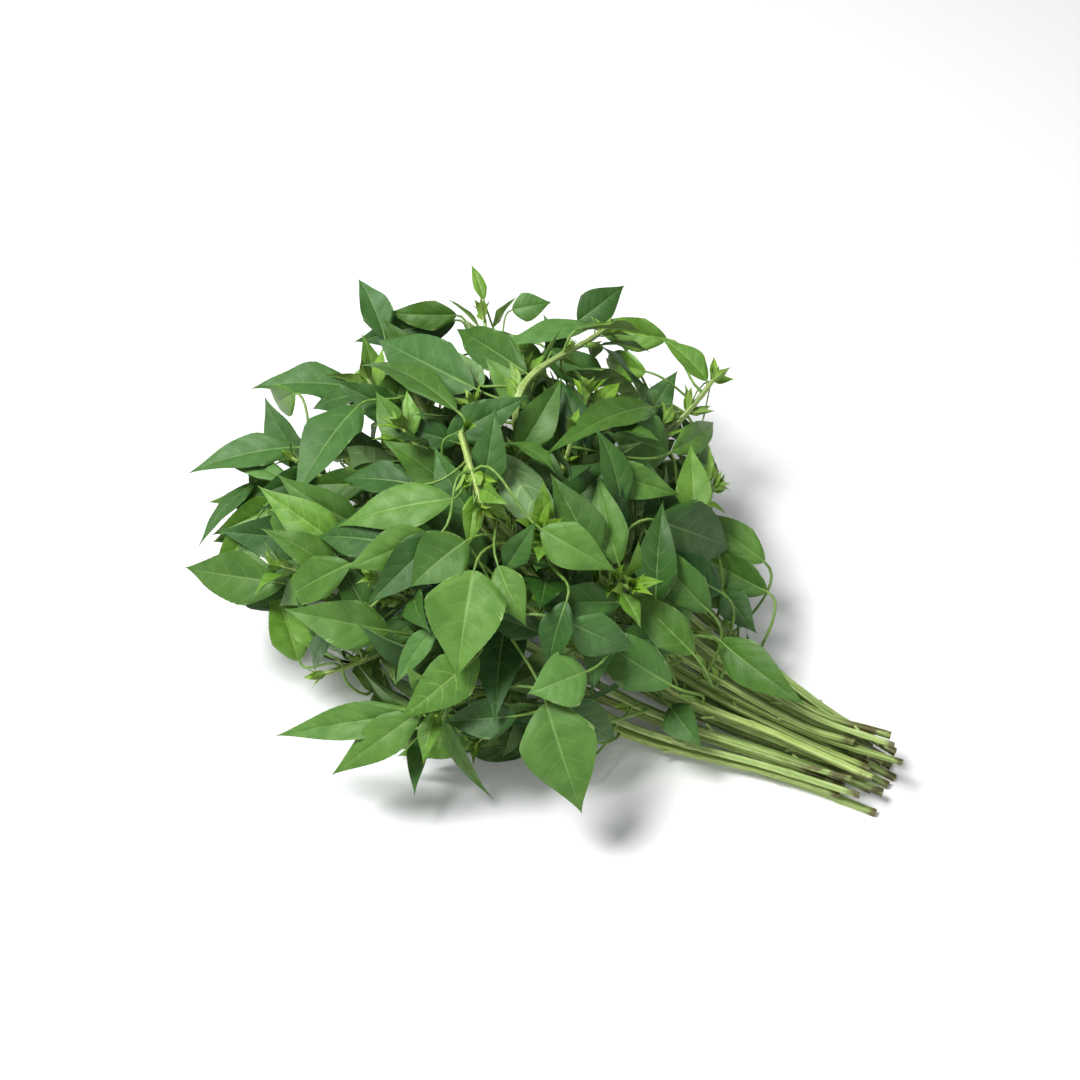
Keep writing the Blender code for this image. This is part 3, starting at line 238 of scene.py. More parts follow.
# The edge of the foliage in the photograph, which the other leaves keep inside
FOLIAGE_EDGE = (
    (352, 300), (470, 292), (560, 288), (640, 312), (705, 372), (712, 440),
    (735, 520), (745, 604), (700, 640), (640, 652), (596, 684), (575, 745), (440, 775),
    (380, 760), (385, 690), (330, 640), (215, 600), (205, 520), (212, 460),
    (262, 385), (330, 365),
)

# A leaf of the photograph
SEEN_ARCH = 0.14         # rise of a blade's middle, as a share of its length
SEEN_FOLD = 13.0         # degrees that each half stands up from the midrib
EYE_SHARE = 0.75         # how much it faces the viewer, and the dome's outside for the rest
# Places on it that no later leaf may hide: share of its length, and of its half width
SIGHTS = ((0.5, 0.0), (0.25, 0.0), (0.78, 0.0), (0.45, 0.55), (0.45, -0.55))
SIGHT_LIFT = 1.5
SIGHT_REACH = 200.0

# A stalk: how far it may reach back, and what makes it a bad one
FIRST_JOINT = 30.0
LAST_JOINT = 4.0
JOINT_STEP = 3.0
JOINT_LIMIT = 45.0       # past the neck, towards the cut ends
STALK_BACK = 9.0
STALK_DEPTH = 3.0
SHORTEST_STALK = 5.0
LEAST_FACING = 0.25
LEAST_FOLLOW = 0.15      # how nearly the blade must run on the way its stalk came
LONG_STALK = 26.0        # a longer stalk costs more
LONG_COST = 1.5
BEND_COST = 22.0
TURN_COST = 42.0

# A leaf grown by rule from its own joint
SCATTER = 0.3
UP_SCATTER = 0.25
STALK_LENGTHS = (8.0, 15.0)
SIZES = (0.85, 1.1)
SHRINK = 0.45            # how much smaller the last try is than the first
YOUNG_LEAD = (0.75, 0.9, 0.5)    # how a young leaf sets out: off the stem, along it, at random
YOUNG_COURSE = (0.8, 0.25, 0.3)  # and goes on: as it set out, along the stem, off it
YOUNG_STALK = (0.12, 1.2)        # its stalk: a share of its length, and this much more
LEAD = (1.0, 0.55, 0.7)          # how a grown leaf sets out
COURSE = (0.8, 0.45, 0.3)        # and goes on: off the stem, along it, outward from the dome
SINKS = (0.0, 0.2)
DEPTH_START, DEPTH_GAIN = 0.35, 1.3  # nearer the dome's outside a leaf lies flatter to it
UP_MIX = (0.55, 0.9)             # which way it faces: along the stem, outward from the dome
ARCHES = (0.05, 0.2)
FOLDS = (8.0, 24.0)
PAST_NECK = 22.0
DOME_REACH = 1.3
TIP_TRIES, OUTER_TRIES, INNER_TRIES = 12, 22, 16

# A leaf laid over a gap
GAP_LENGTHS = (38.0, 52.0)
GAP_SHRINK = 0.3
GAP_DEPTHS = (-4.0, 14.0)
GAP_SLENDERNESS = (0.4, 0.5)
GAP_ARCHES = (0.08, 0.2)
GAP_FOLDS = (8.0, 22.0)
COURSE_SCATTER = 0.55
TILTS = (-0.1, 0.25)
LOOK_FROM = 16.0
GAP_COURSE = (-0.9, 0.5)         # towards the tips, and sideways from the bunch's middle line

# Where a leaf's cross-sections lie: along its stalk, and along its blade
SEEN_STALK = (0.35, 0.7)
SEEN_BLADE = (0.0, 0.16, 0.42, 0.74)
FILL_STALK = (0.85,)
FILL_BLADE = (0.3, 0.68)
SMALL_STALK = ()
SMALL_BLADE = (0.0, 0.4)

# Fine blades
VEIN_PAIRS = 6
ROWS_PER_VEIN = 4
HALF_COLUMNS = 5
SEEN_HALF_COLUMNS = 7
SMALL_VEIN_PAIRS = 4
SMALL_ROWS_PER_VEIN = 2
SMALL_HALF_COLUMNS = 3
SMALL_BLADE_LENGTH = 15.0  # blades up to this length have the plainer grid
FULL_RELIEF_LENGTH = 40.0  # shorter blades have less relief
COLUMN_CROWDING = 1.25   # brings the columns closer to the midrib
VEIN_SWEEP = 0.3         # how far a side vein runs on towards the tip
VEIN_CURVE = 1.6
BLADE_THICKNESS = 0.38
GROOVE = 0.34            # depth of the midrib's groove
GROOVE_SHARE = 0.1       # its width, as a share of the half width
QUILT = 0.34             # how far the blade bulges between veins
QUILTS = (0.6, 1.2)
VEIN_RELIEF = 0.16       # how far a vein stands out on the underside
TOOTH = 0.009            # teeth of the edge, as a share of the half width
WAVE = 0.95              # height of the edge's waves
CURL_FROM = 0.55         # where along a blade its tip begins to curl down
TWIST_FROM = 0.3         # where along a blade it isn't turned
SHARP_ANGLE = 62.0
FLOOR_CLEARANCE = 0.12
# The bends that differ from leaf to leaf, in the order in which they are drawn
BENDS = {
    "cup": (-0.22, 0.2),
    "twist": (-0.2, 0.2),
    "curl": (0.0, 0.2),
    "wave": (0.3, 1.1),
    "waves": (1.4, 2.8),
    "phase": (0.0, 1.0),
    "skew": (-0.5, 0.5),
}

# Stalks and midribs
STALK_SIDES = 6
STALK_RINGS = 9
RIB_RINGS = 9
SMALL_STALK_RINGS = 4
STALK_SUNK = 0.7         # how far a stalk's root is sunk into its stem
STALK_ROOT_RADIUS = 1.05
STALK_RADIUS = 0.62
FULL_STALK_LENGTH = 36.0  # shorter blades have thinner stalks
THINNEST_STALK = 0.45
RIB_RADIUS = 0.5
RIB_TIP_RADIUS = 0.1
RIB_SHARE = 0.9          # how much of the blade the midrib runs along
RIB_DROP = 0.22          # how far it lies below the blade's middle

# Fine stems
STEM_RING_STEP = 2.6
STEM_TONES = (0.05, 0.85)
STEM_WARMTHS = (0.1, 0.9)
UNEVENNESS = (0.97, 1.03)
SWELLING = 0.24          # how much thicker a stem is at its joints
SWELLING_RUN = 1.9
FIRST_SCARS = (14.0, 30.0)   # where the first bare joint lies
SCAR_SPACING = (26.0, 44.0)  # between the bare joints of the lower stem
# One quarter of a stem's section: two points round the corner, then the middle of the groove
STEM_QUARTER = ((1.0, 0.62), (0.62, 1.0), (0.0, 0.84))
RIDGES = (1.0, 1.0, 0.0)      # which of them lie on the ridge
BUD_SHARE = 0.6
CUT_SKEW = 0.35               # how slanting a cut end may be, at most
LIP_SHARE, LIP_DEPTH = 0.72, 0.12
HOLLOW_DEPTH = 0.55
CUT_BROWN_RUNS = (4.0, 12.0)  # how far a cut end is brown
DRIED_SHARE = 0.35            # stems that have dried much farther
DRIED_RUNS = (18.0, 34.0)

# Stubs of leaf stalks at bare joints
STUB_SHARE = 0.6
STUB_LENGTHS = (2.0, 7.5)
STUB_RADIUS = 0.6
STUB_SHAPE = ((0.0, 1.5), (0.35, 1.1), (0.7, 1.0), (0.95, 1.0), (1.0, 0.4))  # place, thickness
STUB_LEANS = (0.6, 2.0)
STUB_BENDS = (-0.2, 0.5)
STUB_TONES = (0.3, 0.8)
STUB_WARMTHS = (0.2, 0.8)
STUB_JOINT = 0.3

# Young leaves in the axils and at the tips
YOUNG_BELOW = 13.5       # leaves this near a tip are young
YOUNG_LENGTH = 26.0      # young leaves longer than this have lost their yellow
YOUNG_WARMTH = 1.1
YOUNG_TONES = (0.35, 0.95)
TINY_ARCHES = (0.0, 0.22)
TINY_FOLDS = (12.0, 30.0)
# Distance below the tip, length, width and lean of each pair round a shoot's end
TIP_PAIRS = ((1.2, 11.0, 4.0, 38), (0.2, 8.5, 3.0, 28), (-1.0, 6.0, 2.1, 18), (-1.8, 3.8, 1.4, 8))
TIP_SPIN = 0.25
TIP_SIZES = (0.85, 1.15)
TIP_LEANS = (-6.0, 10.0)
TIP_HALF = 0.4
AXIL_SHARE = 0.85
AXIL_PAIRS = ((1.0, 0.0), (0.6, 2.6))  # size, and height above the joint
AXIL_RISE = 1.2
AXIL_LENGTHS = (5.5, 13.0)
TIP_AXIL_LENGTHS = (8.0, 14.0)         # on the shoots that the photograph shows
TIP_AXIL_RUN = 70.0
AXIL_SIZES = (0.8, 1.1)
AXIL_SLENDERNESS = 0.34
AXIL_LEANS = (0.5, 0.9)
AXIL_SPREADS = (0.2, 0.5)

# Tone of a leaf (0 dark, 1 light), its warmth (0 blue-green, 1 yellow-green)
TONES = {
    "bright": (0.72, 0.55),
    "blue": (0.5, 0.08),
    "olive": (0.42, 0.6),
    "pale": (0.85, 0.2),
    "grey": (0.7, 0.0),
    # dark: partly a deep green of the leaves' own, and partly painted shade where it is given to
    # seen leaves that lie behind or under others
    "dark": (0.22, 0.25),
    "fresh": (0.9, 0.85),
}
SEEN_TONES = {
    "bright": ("front", "lower_front", "bright_centre", "lower_left_a", "lower_left_b"),
    "blue": ("big_blue_left", "upper_blue", "far_left", "upper_left", "up_pointing"),
    "olive": ("olive_long", "olive_mid", "arching_right", "over_stems", "green_left",
              "bottom_left", "upper_second"),
    "pale": ("pale_low", "round_pale", "pale_far_left", "pale_narrow", "round_top", "long_arch"),
    "grey": ("grey_green", "ribbed_under", "pale_patch"),
    # The dark tone here is partly these leaves' own deeper green and partly painted shade, for
    # those that lie behind, under or inside the others
    "dark": ("right_dark", "dark_upper_right", "dark_behind_low", "dark_low_left",
             "under_stems", "behind_stem", "left_pair", "narrow_left", "mid_green_low",
             "left_inner", "left_lower_inner"),
    "fresh": ("young_upper_right", "top_bract", "right_small_a", "right_small_b",
              "right_tip_a", "right_tip_b", "right_sprig"),
}
RIBBED = ("ribbed_under", "pale_patch", "round_top")
RIBBED_QUILT = 1.7
GROWN_TONES = ("bright", "blue", "olive", "dark", "bright", "dark")
TONE_SPREAD = 0.16
NAMED_TONE_SPREAD = 0.06

# Colours, as display values from 0 to 255
COLOURS = {
    "top dark": (28, 71, 22), "top light": (94, 138, 72),
    "top warm dark": (46, 82, 10), "top warm light": (106, 145, 42),
    "top mottle": (214, 226, 200), "top cells": (34, 74, 30), "top veins": (142, 172, 100),
    "under dark": (86, 118, 74), "under light": (128, 160, 106),
    "under warm dark": (92, 122, 60), "under warm light": (136, 166, 90),
    "under mottle": (220, 228, 208), "under veins": (168, 192, 134),
    "young dark": (64, 108, 28), "young light": (104, 147, 52),
    "young warm dark": (88, 128, 22), "young warm light": (132, 170, 48),
    "young underside": (166, 190, 116), "young mottle": (216, 226, 200),
    "young veins": (170, 196, 104),
    "stalk dark": (86, 122, 48), "stalk light": (116, 148, 66), "stalk midrib": (116, 146, 88),
    "stem dark": (92, 126, 62), "stem light": (146, 172, 104),
    "stem warm dark": (122, 146, 62), "stem warm light": (170, 190, 98),
    "stem ridge": (196, 212, 140), "stem streak": (220, 228, 200),
    "stem joint": (96, 112, 50), "stem brown": (70, 52, 30),
    "cut dark": (78, 66, 38), "cut light": (146, 148, 92),
}
BUMP_DEPTH = 0.0002      # metres

# The room, in metres
FLOOR_SIZE = 6.0
FLOOR_COLOUR = (0.86, 0.86, 0.86, 1.0)
SKY_COLOUR = (0.96, 0.98, 1.0, 1.0)
SKY_STRENGTH = 0.37
LAMPS = (("key", (-0.45, -0.3, 1.15), 0.5, 21.0), ("fill", (0.8, -0.7, 0.7), 0.9, 3.0))
LAMP_AIM = Vector((0.0, 0.0, 0.05))


def view_axes():
    """Right, up and back axes of the photograph's view."""
    back = Vector((
        math.sin(VIEW_AZIMUTH) * math.cos(VIEW_ELEVATION),
        -math.cos(VIEW_AZIMUTH) * math.cos(VIEW_ELEVATION),
        math.sin(VIEW_ELEVATION),
    ))
    right = Vector((math.cos(VIEW_AZIMUTH), math.sin(VIEW_AZIMUTH), 0.0))
    return right, back.cross(right), back


VIEW_RIGHT, VIEW_UP, VIEW_BACK = view_axes()
VIEW_EYE = VIEW_AIM + VIEW_BACK * VIEW_DISTANCE


def sight_line(pixel):
    """Direction in which a pixel looks from the eye."""
    focal = IMAGE_SIZE * FOCAL_OVER_SENSOR
    across = (pixel[0] - IMAGE_SIZE / 2) / focal
    down = (pixel[1] - IMAGE_SIZE / 2) / focal
    return (VIEW_RIGHT * across - VIEW_UP * down - VIEW_BACK).normalized()


def pixel_of(point):
    """Pixel at which a point is seen."""
    offset = point - VIEW_EYE
    scale = IMAGE_SIZE * FOCAL_OVER_SENSOR / -offset.dot(VIEW_BACK)
    return (
        IMAGE_SIZE / 2 + offset.dot(VIEW_RIGHT) * scale,
        IMAGE_SIZE / 2 - offset.dot(VIEW_UP) * scale,
    )


def square_to(up, heading):
    """The part of up that is square to a heading, one long."""
    return (up - heading * up.dot(heading)).normalized()


def jitter(rng, spread):
    """A random vector."""
    return Vector(rng.gauss(0.0, spread) for _ in range(3))


def box(points):
    """Lowest and highest corner of the box round some points."""
    return np.min(points, axis=0), np.max(points, axis=0)


def to_unit(vector):
    """A vector in the space where the dome is a unit sphere."""
    return Vector(a / r for a, r in zip(vector, DOME_RADII))


def dome_outward(point):
    """Outward direction of the dome near a point."""
    scaled = to_unit(point - DOME_CENTRE)
    return Vector(a / r for a, r in zip(scaled, DOME_RADII)).normalized()


def seen_on_dome(pixel, lift):
    """Where a pixel's line meets the dome, or passes it closest, raised towards the viewer."""
    line = sight_line(pixel)
    start = to_unit(VIEW_EYE - DOME_CENTRE)
    slope = to_unit(line)
    closest = -start.dot(slope) / slope.dot(slope)
    miss = (start + slope * closest).length_squared
    reach = math.sqrt(max(0.0, 1.0 - miss) / slope.dot(slope))
    point = VIEW_EYE + line * (closest - reach - lift)
    if point.z < SEEN_LOWEST:
        point = VIEW_EYE + line * ((SEEN_LOWEST - VIEW_EYE.z) / line.z)
    return point


def dome_spread(count, reach):
    """Directions spread evenly over the dome, each with the point of the dome it leads to."""
    for i in range(count):
        lift = 1.0 - reach * (i + 0.5) / count
        ring = math.sqrt(1.0 - lift * lift)
        turn = i * GOLDEN_ANGLE
        unit = Vector((math.cos(turn) * ring, math.sin(turn) * ring, lift))
        yield unit, DOME_CENTRE + Vector(u * r for u, r in zip(unit, DOME_RADII))


def inside_edge(pixel):
    """Whether a pixel lies within the foliage's edge."""
    inside = False
    for (ax, ay), (bx, by) in zip(FOLIAGE_EDGE, FOLIAGE_EDGE[1:] + FOLIAGE_EDGE[:1]):
        if (ay > pixel[1]) != (by > pixel[1]):
            if pixel[0] < ax + (pixel[1] - ay) * (bx - ax) / (by - ay):
                inside = not inside
    return inside


class Path:
    """A smooth line through points, with a frame that doesn't twist."""

    def __init__(self, points, floor):
        rough = []
        ends = [points[0] * 2 - points[1]] + points + [points[-1] * 2 - points[-2]]
        for a, b, c, d in zip(ends, ends[1:], ends[2:], ends[3:]):
            steps = max(2, int((c - b).length / PATH_STEP))
            for step in range(steps):
                rough.append(catmull_rom(a, b, c, d, step / steps))
        rough.append(points[-1].copy())
        self.points = [Vector((p.x, p.y, max(p.z, floor))) for p in rough]
        self.along = [0.0]
        for a, b in zip(self.points, self.points[1:]):
            self.along.append(self.along[-1] + (b - a).length)
        self.length = self.along[-1]
        self.frames = self.carried_frames()

    def carried_frames(self):
        """Direction, side and top at each point, each carried on from the one before."""
        frames = []
        top = Vector((0.0, 0.0, 1.0))
        last = len(self.points) - 1
        for i in range(last + 1):
            heading = self.points[min(i + 1, last)] - self.points[max(i - 1, 0)]
            heading.normalize()
            side = top.cross(heading).normalized()
            top = heading.cross(side)
            frames.append((heading, side, top))
        return frames

    def at(self, distance):
        """Point, direction, side and top at a distance from the start."""
        distance = min(max(distance, 0.0), self.length)
        i = min(int(np.searchsorted(self.along, distance, side="right")) - 1, len(self.along) - 2)
        share = (distance - self.along[i]) / (self.along[i + 1] - self.along[i])
        place = self.points[i].lerp(self.points[i + 1], share)
        heading = self.frames[i][0].lerp(self.frames[i + 1][0], share).normalized()
        top = self.frames[i][2].lerp(self.frames[i + 1][2], share)
        side = top.cross(heading).normalized()
        return place, heading, side, heading.cross(side)


def catmull_rom(a, b, c, d, t):
    """Point between b and c on the curve through a, b, c and d."""
    return 0.5 * (
        2 * b + (c - a) * t
        + (2 * a - 5 * b + 4 * c - d) * t ** 2
        + (3 * b - a - 3 * c + d) * t ** 3
    )


def bezier(a, b, c, d, t):
    """Point of a cubic curve and its direction."""
    s = 1.0 - t
    point = a * s ** 3 + b * 3 * s * s * t + c * 3 * s * t * t + d * t ** 3
    slope = (b - a) * s * s + (c - b) * 2 * s * t + (d - c) * t * t
    return point, slope.normalized()


class Stem:
    """One square stem: its path, its taper and the joints where leaves grow."""

    def __init__(self, name, path, roll, girth):
        self.name = name
        self.path = path
        self.roll = roll
        self.girth = girth
        self.joints = []
        self.number = 0
        self.core = None

    def half(self, distance):
        """Half the stem's side, which narrows only near the tip."""
        share = min(1.0, (self.path.length - distance) / TAPER_RUN)
        return self.girth * (STEM_TIP_HALF + (STEM_HALF - STEM_TIP_HALF) * share)

    def frame(self, distance):
        """Point, direction and the two rolled cross directions."""
        place, heading, side, top = self.path.at(distance)
        turn = Matrix.Rotation(self.roll, 3, heading)
        return place, heading, turn @ side, turn @ top

    def ring(self, distance, grow=0.0):
        """Four corners of the stem, anticlockwise about its direction."""
        place, _, side, top = self.frame(distance)
        half = self.half(distance) + grow
        signs = ((1, 1), (-1, 1), (-1, -1), (1, -1))
        return [place + side * (a * half) + top * (b * half) for a, b in signs]

    def face(self, distance, k):
        """Middle of side face k and its outward direction."""
        place, _, side, top = self.frame(distance)
        outward = (top, -side, -top, side)[k]
        return place + outward * self.half(distance), outward

    def root_loop(self, distance, k, lift=0.0):
        """Four corners of side face k of a joint, moved outward by lift."""
        low = self.ring(distance - NODE_HALF)
        high = self.ring(distance + NODE_HALF)
        n = (k + 1) % 4
        shift = self.face(distance, k)[1] * lift
        return [p + shift for p in (low[k], low[n], high[n], high[k])]

    def free_joint(self, distance):
        """The joint at this distance, or None where another is too close."""
        for joint in self.joints:
            if abs(joint["at"] - distance) < SAME_JOINT:
                return joint
            if abs(joint["at"] - distance) < 2 * NODE_HALF + JOINT_GAP:
                return None
        return {"at": distance, "faces": {}}

    def add(self, joint, k, leaf):
        """Grows a leaf from face k of a joint."""
        if joint not in self.joints:
            self.joints.append(joint)
        joint["faces"][k] = leaf


class Crowd:
    """Everything placed so far, to keep each new piece clear of it."""

    def __init__(self):
        self.items = []
        self.low = np.zeros((0, 3))
        self.high = np.zeros((0, 3))
        self.sights = []

    def keep_seen(self, blade):
        """Keeps the view of a leaf of the photograph open."""
        for number, (share, sideways) in enumerate(SIGHTS):
            part = blade_sections(blade, (share,))[0]
            point = part["centre"] + part["side"] * (part["half_width"] * sideways)
            way = (VIEW_EYE - point).normalized()
            self.sights.append((number == 0, point + way * SIGHT_LIFT, way))

    def hides(self, verts, faces, middles_only):
        """Whether a piece would stand in the view of a leaf that is kept seen."""
        tree = BVHTree.FromPolygons(verts, faces)
        for middle, point, way in self.sights:
            if middle or not middles_only:
                if tree.ray_cast(point, way, SIGHT_REACH)[0] is not None:
                    return True
        return False

    def add(self, verts, faces, owner):
        """Adds a placed piece."""
        low, high = box(verts)
        self.items.append((BVHTree.FromPolygons(verts, faces), owner))
        self.low = np.vstack((self.low, low))
        self.high = np.vstack((self.high, high))

    def near(self, points):
        """The placed pieces whose boxes meet the box round some points."""
        low, high = box(points)
        meeting = np.all((self.low <= high) & (self.high >= low), axis=1)
        return [self.items[i] for i in np.nonzero(meeting)[0]]

    def meets(self, start, heading, reach):
        """Whether a straight line from start meets anything within reach."""
        for tree, _ in self.near([start, start + heading * reach]):
            if tree.ray_cast(start, heading, reach)[0] is not None:
                return True
        return False

    def clear(self, verts, faces, skip=()):
        """Whether a piece crosses nothing, leaving out the owners in skip."""
        tree = BVHTree.FromPolygons(verts, faces)
        for other, owner in self.near(verts):
            if owner not in skip and tree.overlap(other):
                return False
        return True

    def takes(self, verts, faces, blade):
        """Whether a leaf keeps off the floor, clear of all else and out of the sights."""
        if min(v.z for v in verts) < LOWEST or not self.clear(verts, faces):
            return False
        return not self.hides(verts, faces, bool(blade["name"]))


def outline(share):
    """Half width of an ovate leaf with a drawn-out tip, as a share of its widest."""
    return math.sin(math.pi * share ** WIDEST_POWER) ** (FULLNESS + TIP_DRAWN * share)


def make_blade(name, base, tip, up, width, arch, fold):
    """A leaf's blade. Its arch is a share of its length, and its fold is given in degrees."""
    return {
        "name": name, "base": base, "tip": tip, "up": up, "width": width,
        "arch": arch, "fold": math.radians(fold),
    }


def section(centre, heading, up, half_width, half_thick, rise):
    """One cross-section of a leaf, whose edges stand rise above its middle."""
    up = square_to(up, heading)
    return {
        "centre": centre, "heading": heading, "up": up, "side": up.cross(heading),
        "half_width": half_width, "half_thick": half_thick, "rise": rise,
    }


def blade_sections(blade, stations):
    """Cross-sections of a blade from its base, which is station 0, towards its tip."""
    chord = blade["tip"] - blade["base"]
    bulge = blade["base"] + chord * BULGE_AT + blade["up"] * (blade["arch"] * chord.length)
    sections = []
    for share in stations:
        centre = (
            blade["base"] * (1 - share) ** 2
            + bulge * (2 * share * (1 - share)) + blade["tip"] * share ** 2
        )
        heading = (bulge - blade["base"]) * (1 - share) + (blade["tip"] - bulge) * share
        half_width = max(BASE_HALF_WIDTH, blade["width"] / 2 * outline(share))
        if share == 0.0:
            half_width = min(BASE_HALF_WIDTH, blade["width"] / 4)
        thick = BLADE_HALF_THICK if share > 0.0 else PETIOLE_HALF
        rise = half_width * math.tan(blade["fold"]) if share > 0.0 else 0.0
        sections.append(section(
            centre, heading.normalized(), blade["up"], half_width, thick, rise))
    return sections


def petiole_sections(stem, distance, k, blade, shares):
    """Cross-sections of the leaf stalk from the stem's face to the blade's base."""
    root, outward = stem.face(distance, k)
    chord = blade["base"] - root
    first = blade_sections(blade, (0.0,))[0]
    lead = root + outward * (chord.length * STALK_LEAD)
    follow = blade["base"] - first["heading"] * (chord.length * STALK_FOLLOW)
    stem_up = stem.frame(distance)[1]
    sections = []
    for share in shares:
        centre, heading = bezier(root, lead, follow, blade["base"], share)
        up = stem_up.lerp(first["up"], share)
        sections.append(section(centre, heading, up, PETIOLE_HALF, PETIOLE_HALF, 0.0))
    return sections


def loop_points(part, grow=0.0):
    """Bottom, right, top and left of a cross-section, seen from the leaf's tip."""
    centre, up, side = part["centre"], part["up"], part["side"]
    reach = side * (part["half_width"] + grow)
    rise = up * part["rise"]
    thick = up * (part["half_thick"] + grow)
    return [centre - thick, centre + reach + rise, centre + thick, centre - reach + rise]


def bridge(a, b):
    """Triangles between two loops of four, split alike on the top and the underside."""
    return [
        (a[0], a[1], b[0]), (a[1], b[1], b[0]),
        (a[1], a[2], b[2]), (a[1], b[2], b[1]),
        (a[2], a[3], b[2]), (a[3], b[3], b[2]),
        (a[3], a[0], b[0]), (a[3], b[0], b[3]),
    ]


def fan(a, tip):
    """Triangles from a loop of four to one point."""
    return [(a[i], a[(i + 1) % 4], tip) for i in range(4)]


def turned(loop, onto, verts):
    """The loop's vertices in the order that twists least on the way to the next loop."""
    middle = sum((verts[i] for i in loop), Vector()) / 4
    goal = sum((verts[i] for i in onto), Vector()) / 4
    spokes = [(verts[i] - middle).normalized() for i in loop]
    ends = [(verts[i] - goal).normalized() for i in onto]

    def likeness(shift):
        return sum(spokes[(i + shift) % 4].dot(ends[i]) for i in range(4))

    best = max(range(4), key=likeness)
    return loop[best:] + loop[:best]


def leaf_shell(loops, tip):
    """Vertices and triangles of a run of loops that ends in a point."""
    verts = [p for loop in loops for p in loop] + [tip]
    rows = [list(range(4 * i, 4 * i + 4)) for i in range(len(loops))]
    faces = []
    for a, b in zip(rows, rows[1:]):
        faces += bridge(turned(a, b, verts), b)
    faces += fan(rows[-1], len(verts) - 1)
    return verts, faces


def grown_shell(sections, blade):
    """A leaf's shell a clearance larger than the leaf, for testing."""
    loops = [loop_points(s, CLEARANCE) for s in sections]
    heading = sections[-1]["heading"]
    return leaf_shell(loops, blade["tip"] + heading * CLEARANCE)


def stem_shell(stem, grow):
    """A stem's shell with a ring every few millimetres."""
    count = max(4, int(stem.path.length / SHELL_STEP))
    loops = [stem.ring(stem.path.length * i / count, grow) for i in range(count)]
    return leaf_shell(loops, stem.path.points[-1] + stem.path.frames[-1][0] * grow)


def stacked_slots():
    """Places of the stems in the pile, as (across, up) from the middle of its foot."""
    slots = []
    for row, count in enumerate(PILE_ROWS):
        for i in range(count):
            across = (i - (count - 1) / 2) * STEM_PITCH
            slots.append((across, STEM_HALF + row * STEM_PITCH * math.sqrt(3) / 2))
    return slots


def tip_targets(count):
    """Tips for every shoot: those in the photograph, then an even spread over the dome."""
    tips = []
    for name, (pixel, lift, passed) in SEEN_TIPS.items():
        tips.append((name, seen_on_dome(pixel, lift), [seen_on_dome(p, lift) for p in passed]))
    candidates = []
    for unit, spot in dome_spread(3 * count, WHOLE_DOME):
        if unit.x <= TIP_FURTHEST_BACK and unit.z >= TIP_LOWEST:
            candidates.append(spot)
    while len(tips) < count:
        taken = [t[1] for t in tips]
        best = max(candidates, key=lambda c: min((c - t).length for t in taken))
        candidates.remove(best)
        tips.append((f"filler_{len(tips)}", best, []))
    return tips


def matched_tips(slots, tips):
    """A tip for each slot, so that stems fan out without crossing."""
    fan_centre = Vector((NECK_X + FAN_FOOT[0], 0.0, FAN_FOOT[1]))

    def wanted(tip):
        offset = tip - fan_centre
        sideways = math.hypot(offset.y, offset.z)
        swing = math.atan2(sideways, -offset.x)
        return (swing * offset.y / sideways, swing * offset.z / sideways)

    aims = [wanted(t[1]) for t in tips]
    wide = max(abs(a[0]) for a in aims)
    tall = max(a[1] for a in aims)
    low = min(a[1] for a in aims)
    half_pile = (max(PILE_ROWS) - 1) / 2 * STEM_PITCH
    top_pile = slots[-1][1]
    aims = [(a[0] / wide * half_pile, (a[1] - low) / (tall - low) * top_pile) for a in aims]
    order = list(range(len(slots)))

    def cost(slot, aim):
        return (slots[slot][0] - aims[aim][0]) ** 2 + (slots[slot][1] - aims[aim][1]) ** 2

    improved = True
    while improved:
        improved = False
        for i in range(len(order)):
            for j in range(i + 1, len(order)):
                now = cost(i, order[i]) + cost(j, order[j])
                swapped = cost(i, order[j]) + cost(j, order[i])
                if swapped < now - SWAP_GAIN:
                    order[i], order[j] = order[j], order[i]
                    improved = True
    return [tips[i] for i in order]


def stem_path(slot, tip, passed, lowest_row, loose, rng):
    """The way of one stem, from its cut end through the pile and out to its tip."""
    across, up = slot
    reach = (tip - NECK_MIDDLE).length
    above = up - STEM_HALF
    floor = STEM_HALF if lowest_row else STEM_HALF * UPPER_FLOOR
    stray = LOOSE_STRAY if loose else PILE_STRAY
    rise = 0.0 if lowest_row else rng.uniform(0.0, LOOSE_RISE if loose else PILE_STRAY)
    cut_x = CUT_X + rng.uniform(-CUT_SCATTER, CUT_SCATTER)
    grip_y = across * GRIP_SPREAD + rng.uniform(-PILE_STRAY, PILE_STRAY)
    points = [
        Vector((cut_x, across + rng.uniform(-stray, stray), up + rise)),
        Vector((GRIP_X, grip_y, STEM_HALF + above * GRIP_RISE)),
        Vector((NECK_X, across * NECK_SPREAD, STEM_HALF + above * NECK_RISE)),
    ]
    neck = points[-1]
    if lowest_row:
        run = min(FLOOR_RUN, reach * FLOOR_SHARE)
        sideways = (tip.y - neck.y) * FLOOR_SHARE
        points.append(Vector((NECK_X - run * FLOOR_BEND, neck.y + sideways * 0.5, STEM_HALF)))
        points.append(Vector((NECK_X - run, neck.y + sideways, STEM_HALF)))
    else:
        goal = passed[0] if passed else tip
        onward = Vector((-1.0, across * FAN_SLOPE, above * FAN_SLOPE)).normalized()
        ahead = neck + onward * ((goal - neck).length * AHEAD_SHARE)
        inner = DOME_CENTRE + (goal - DOME_CENTRE) * INNER_SHARE
        points.append(ahead.lerp(inner, rng.uniform(*INNER_MIX)))
        points += [p.copy() for p in passed]
    points.append(tip.copy())
    return Path(points, floor)


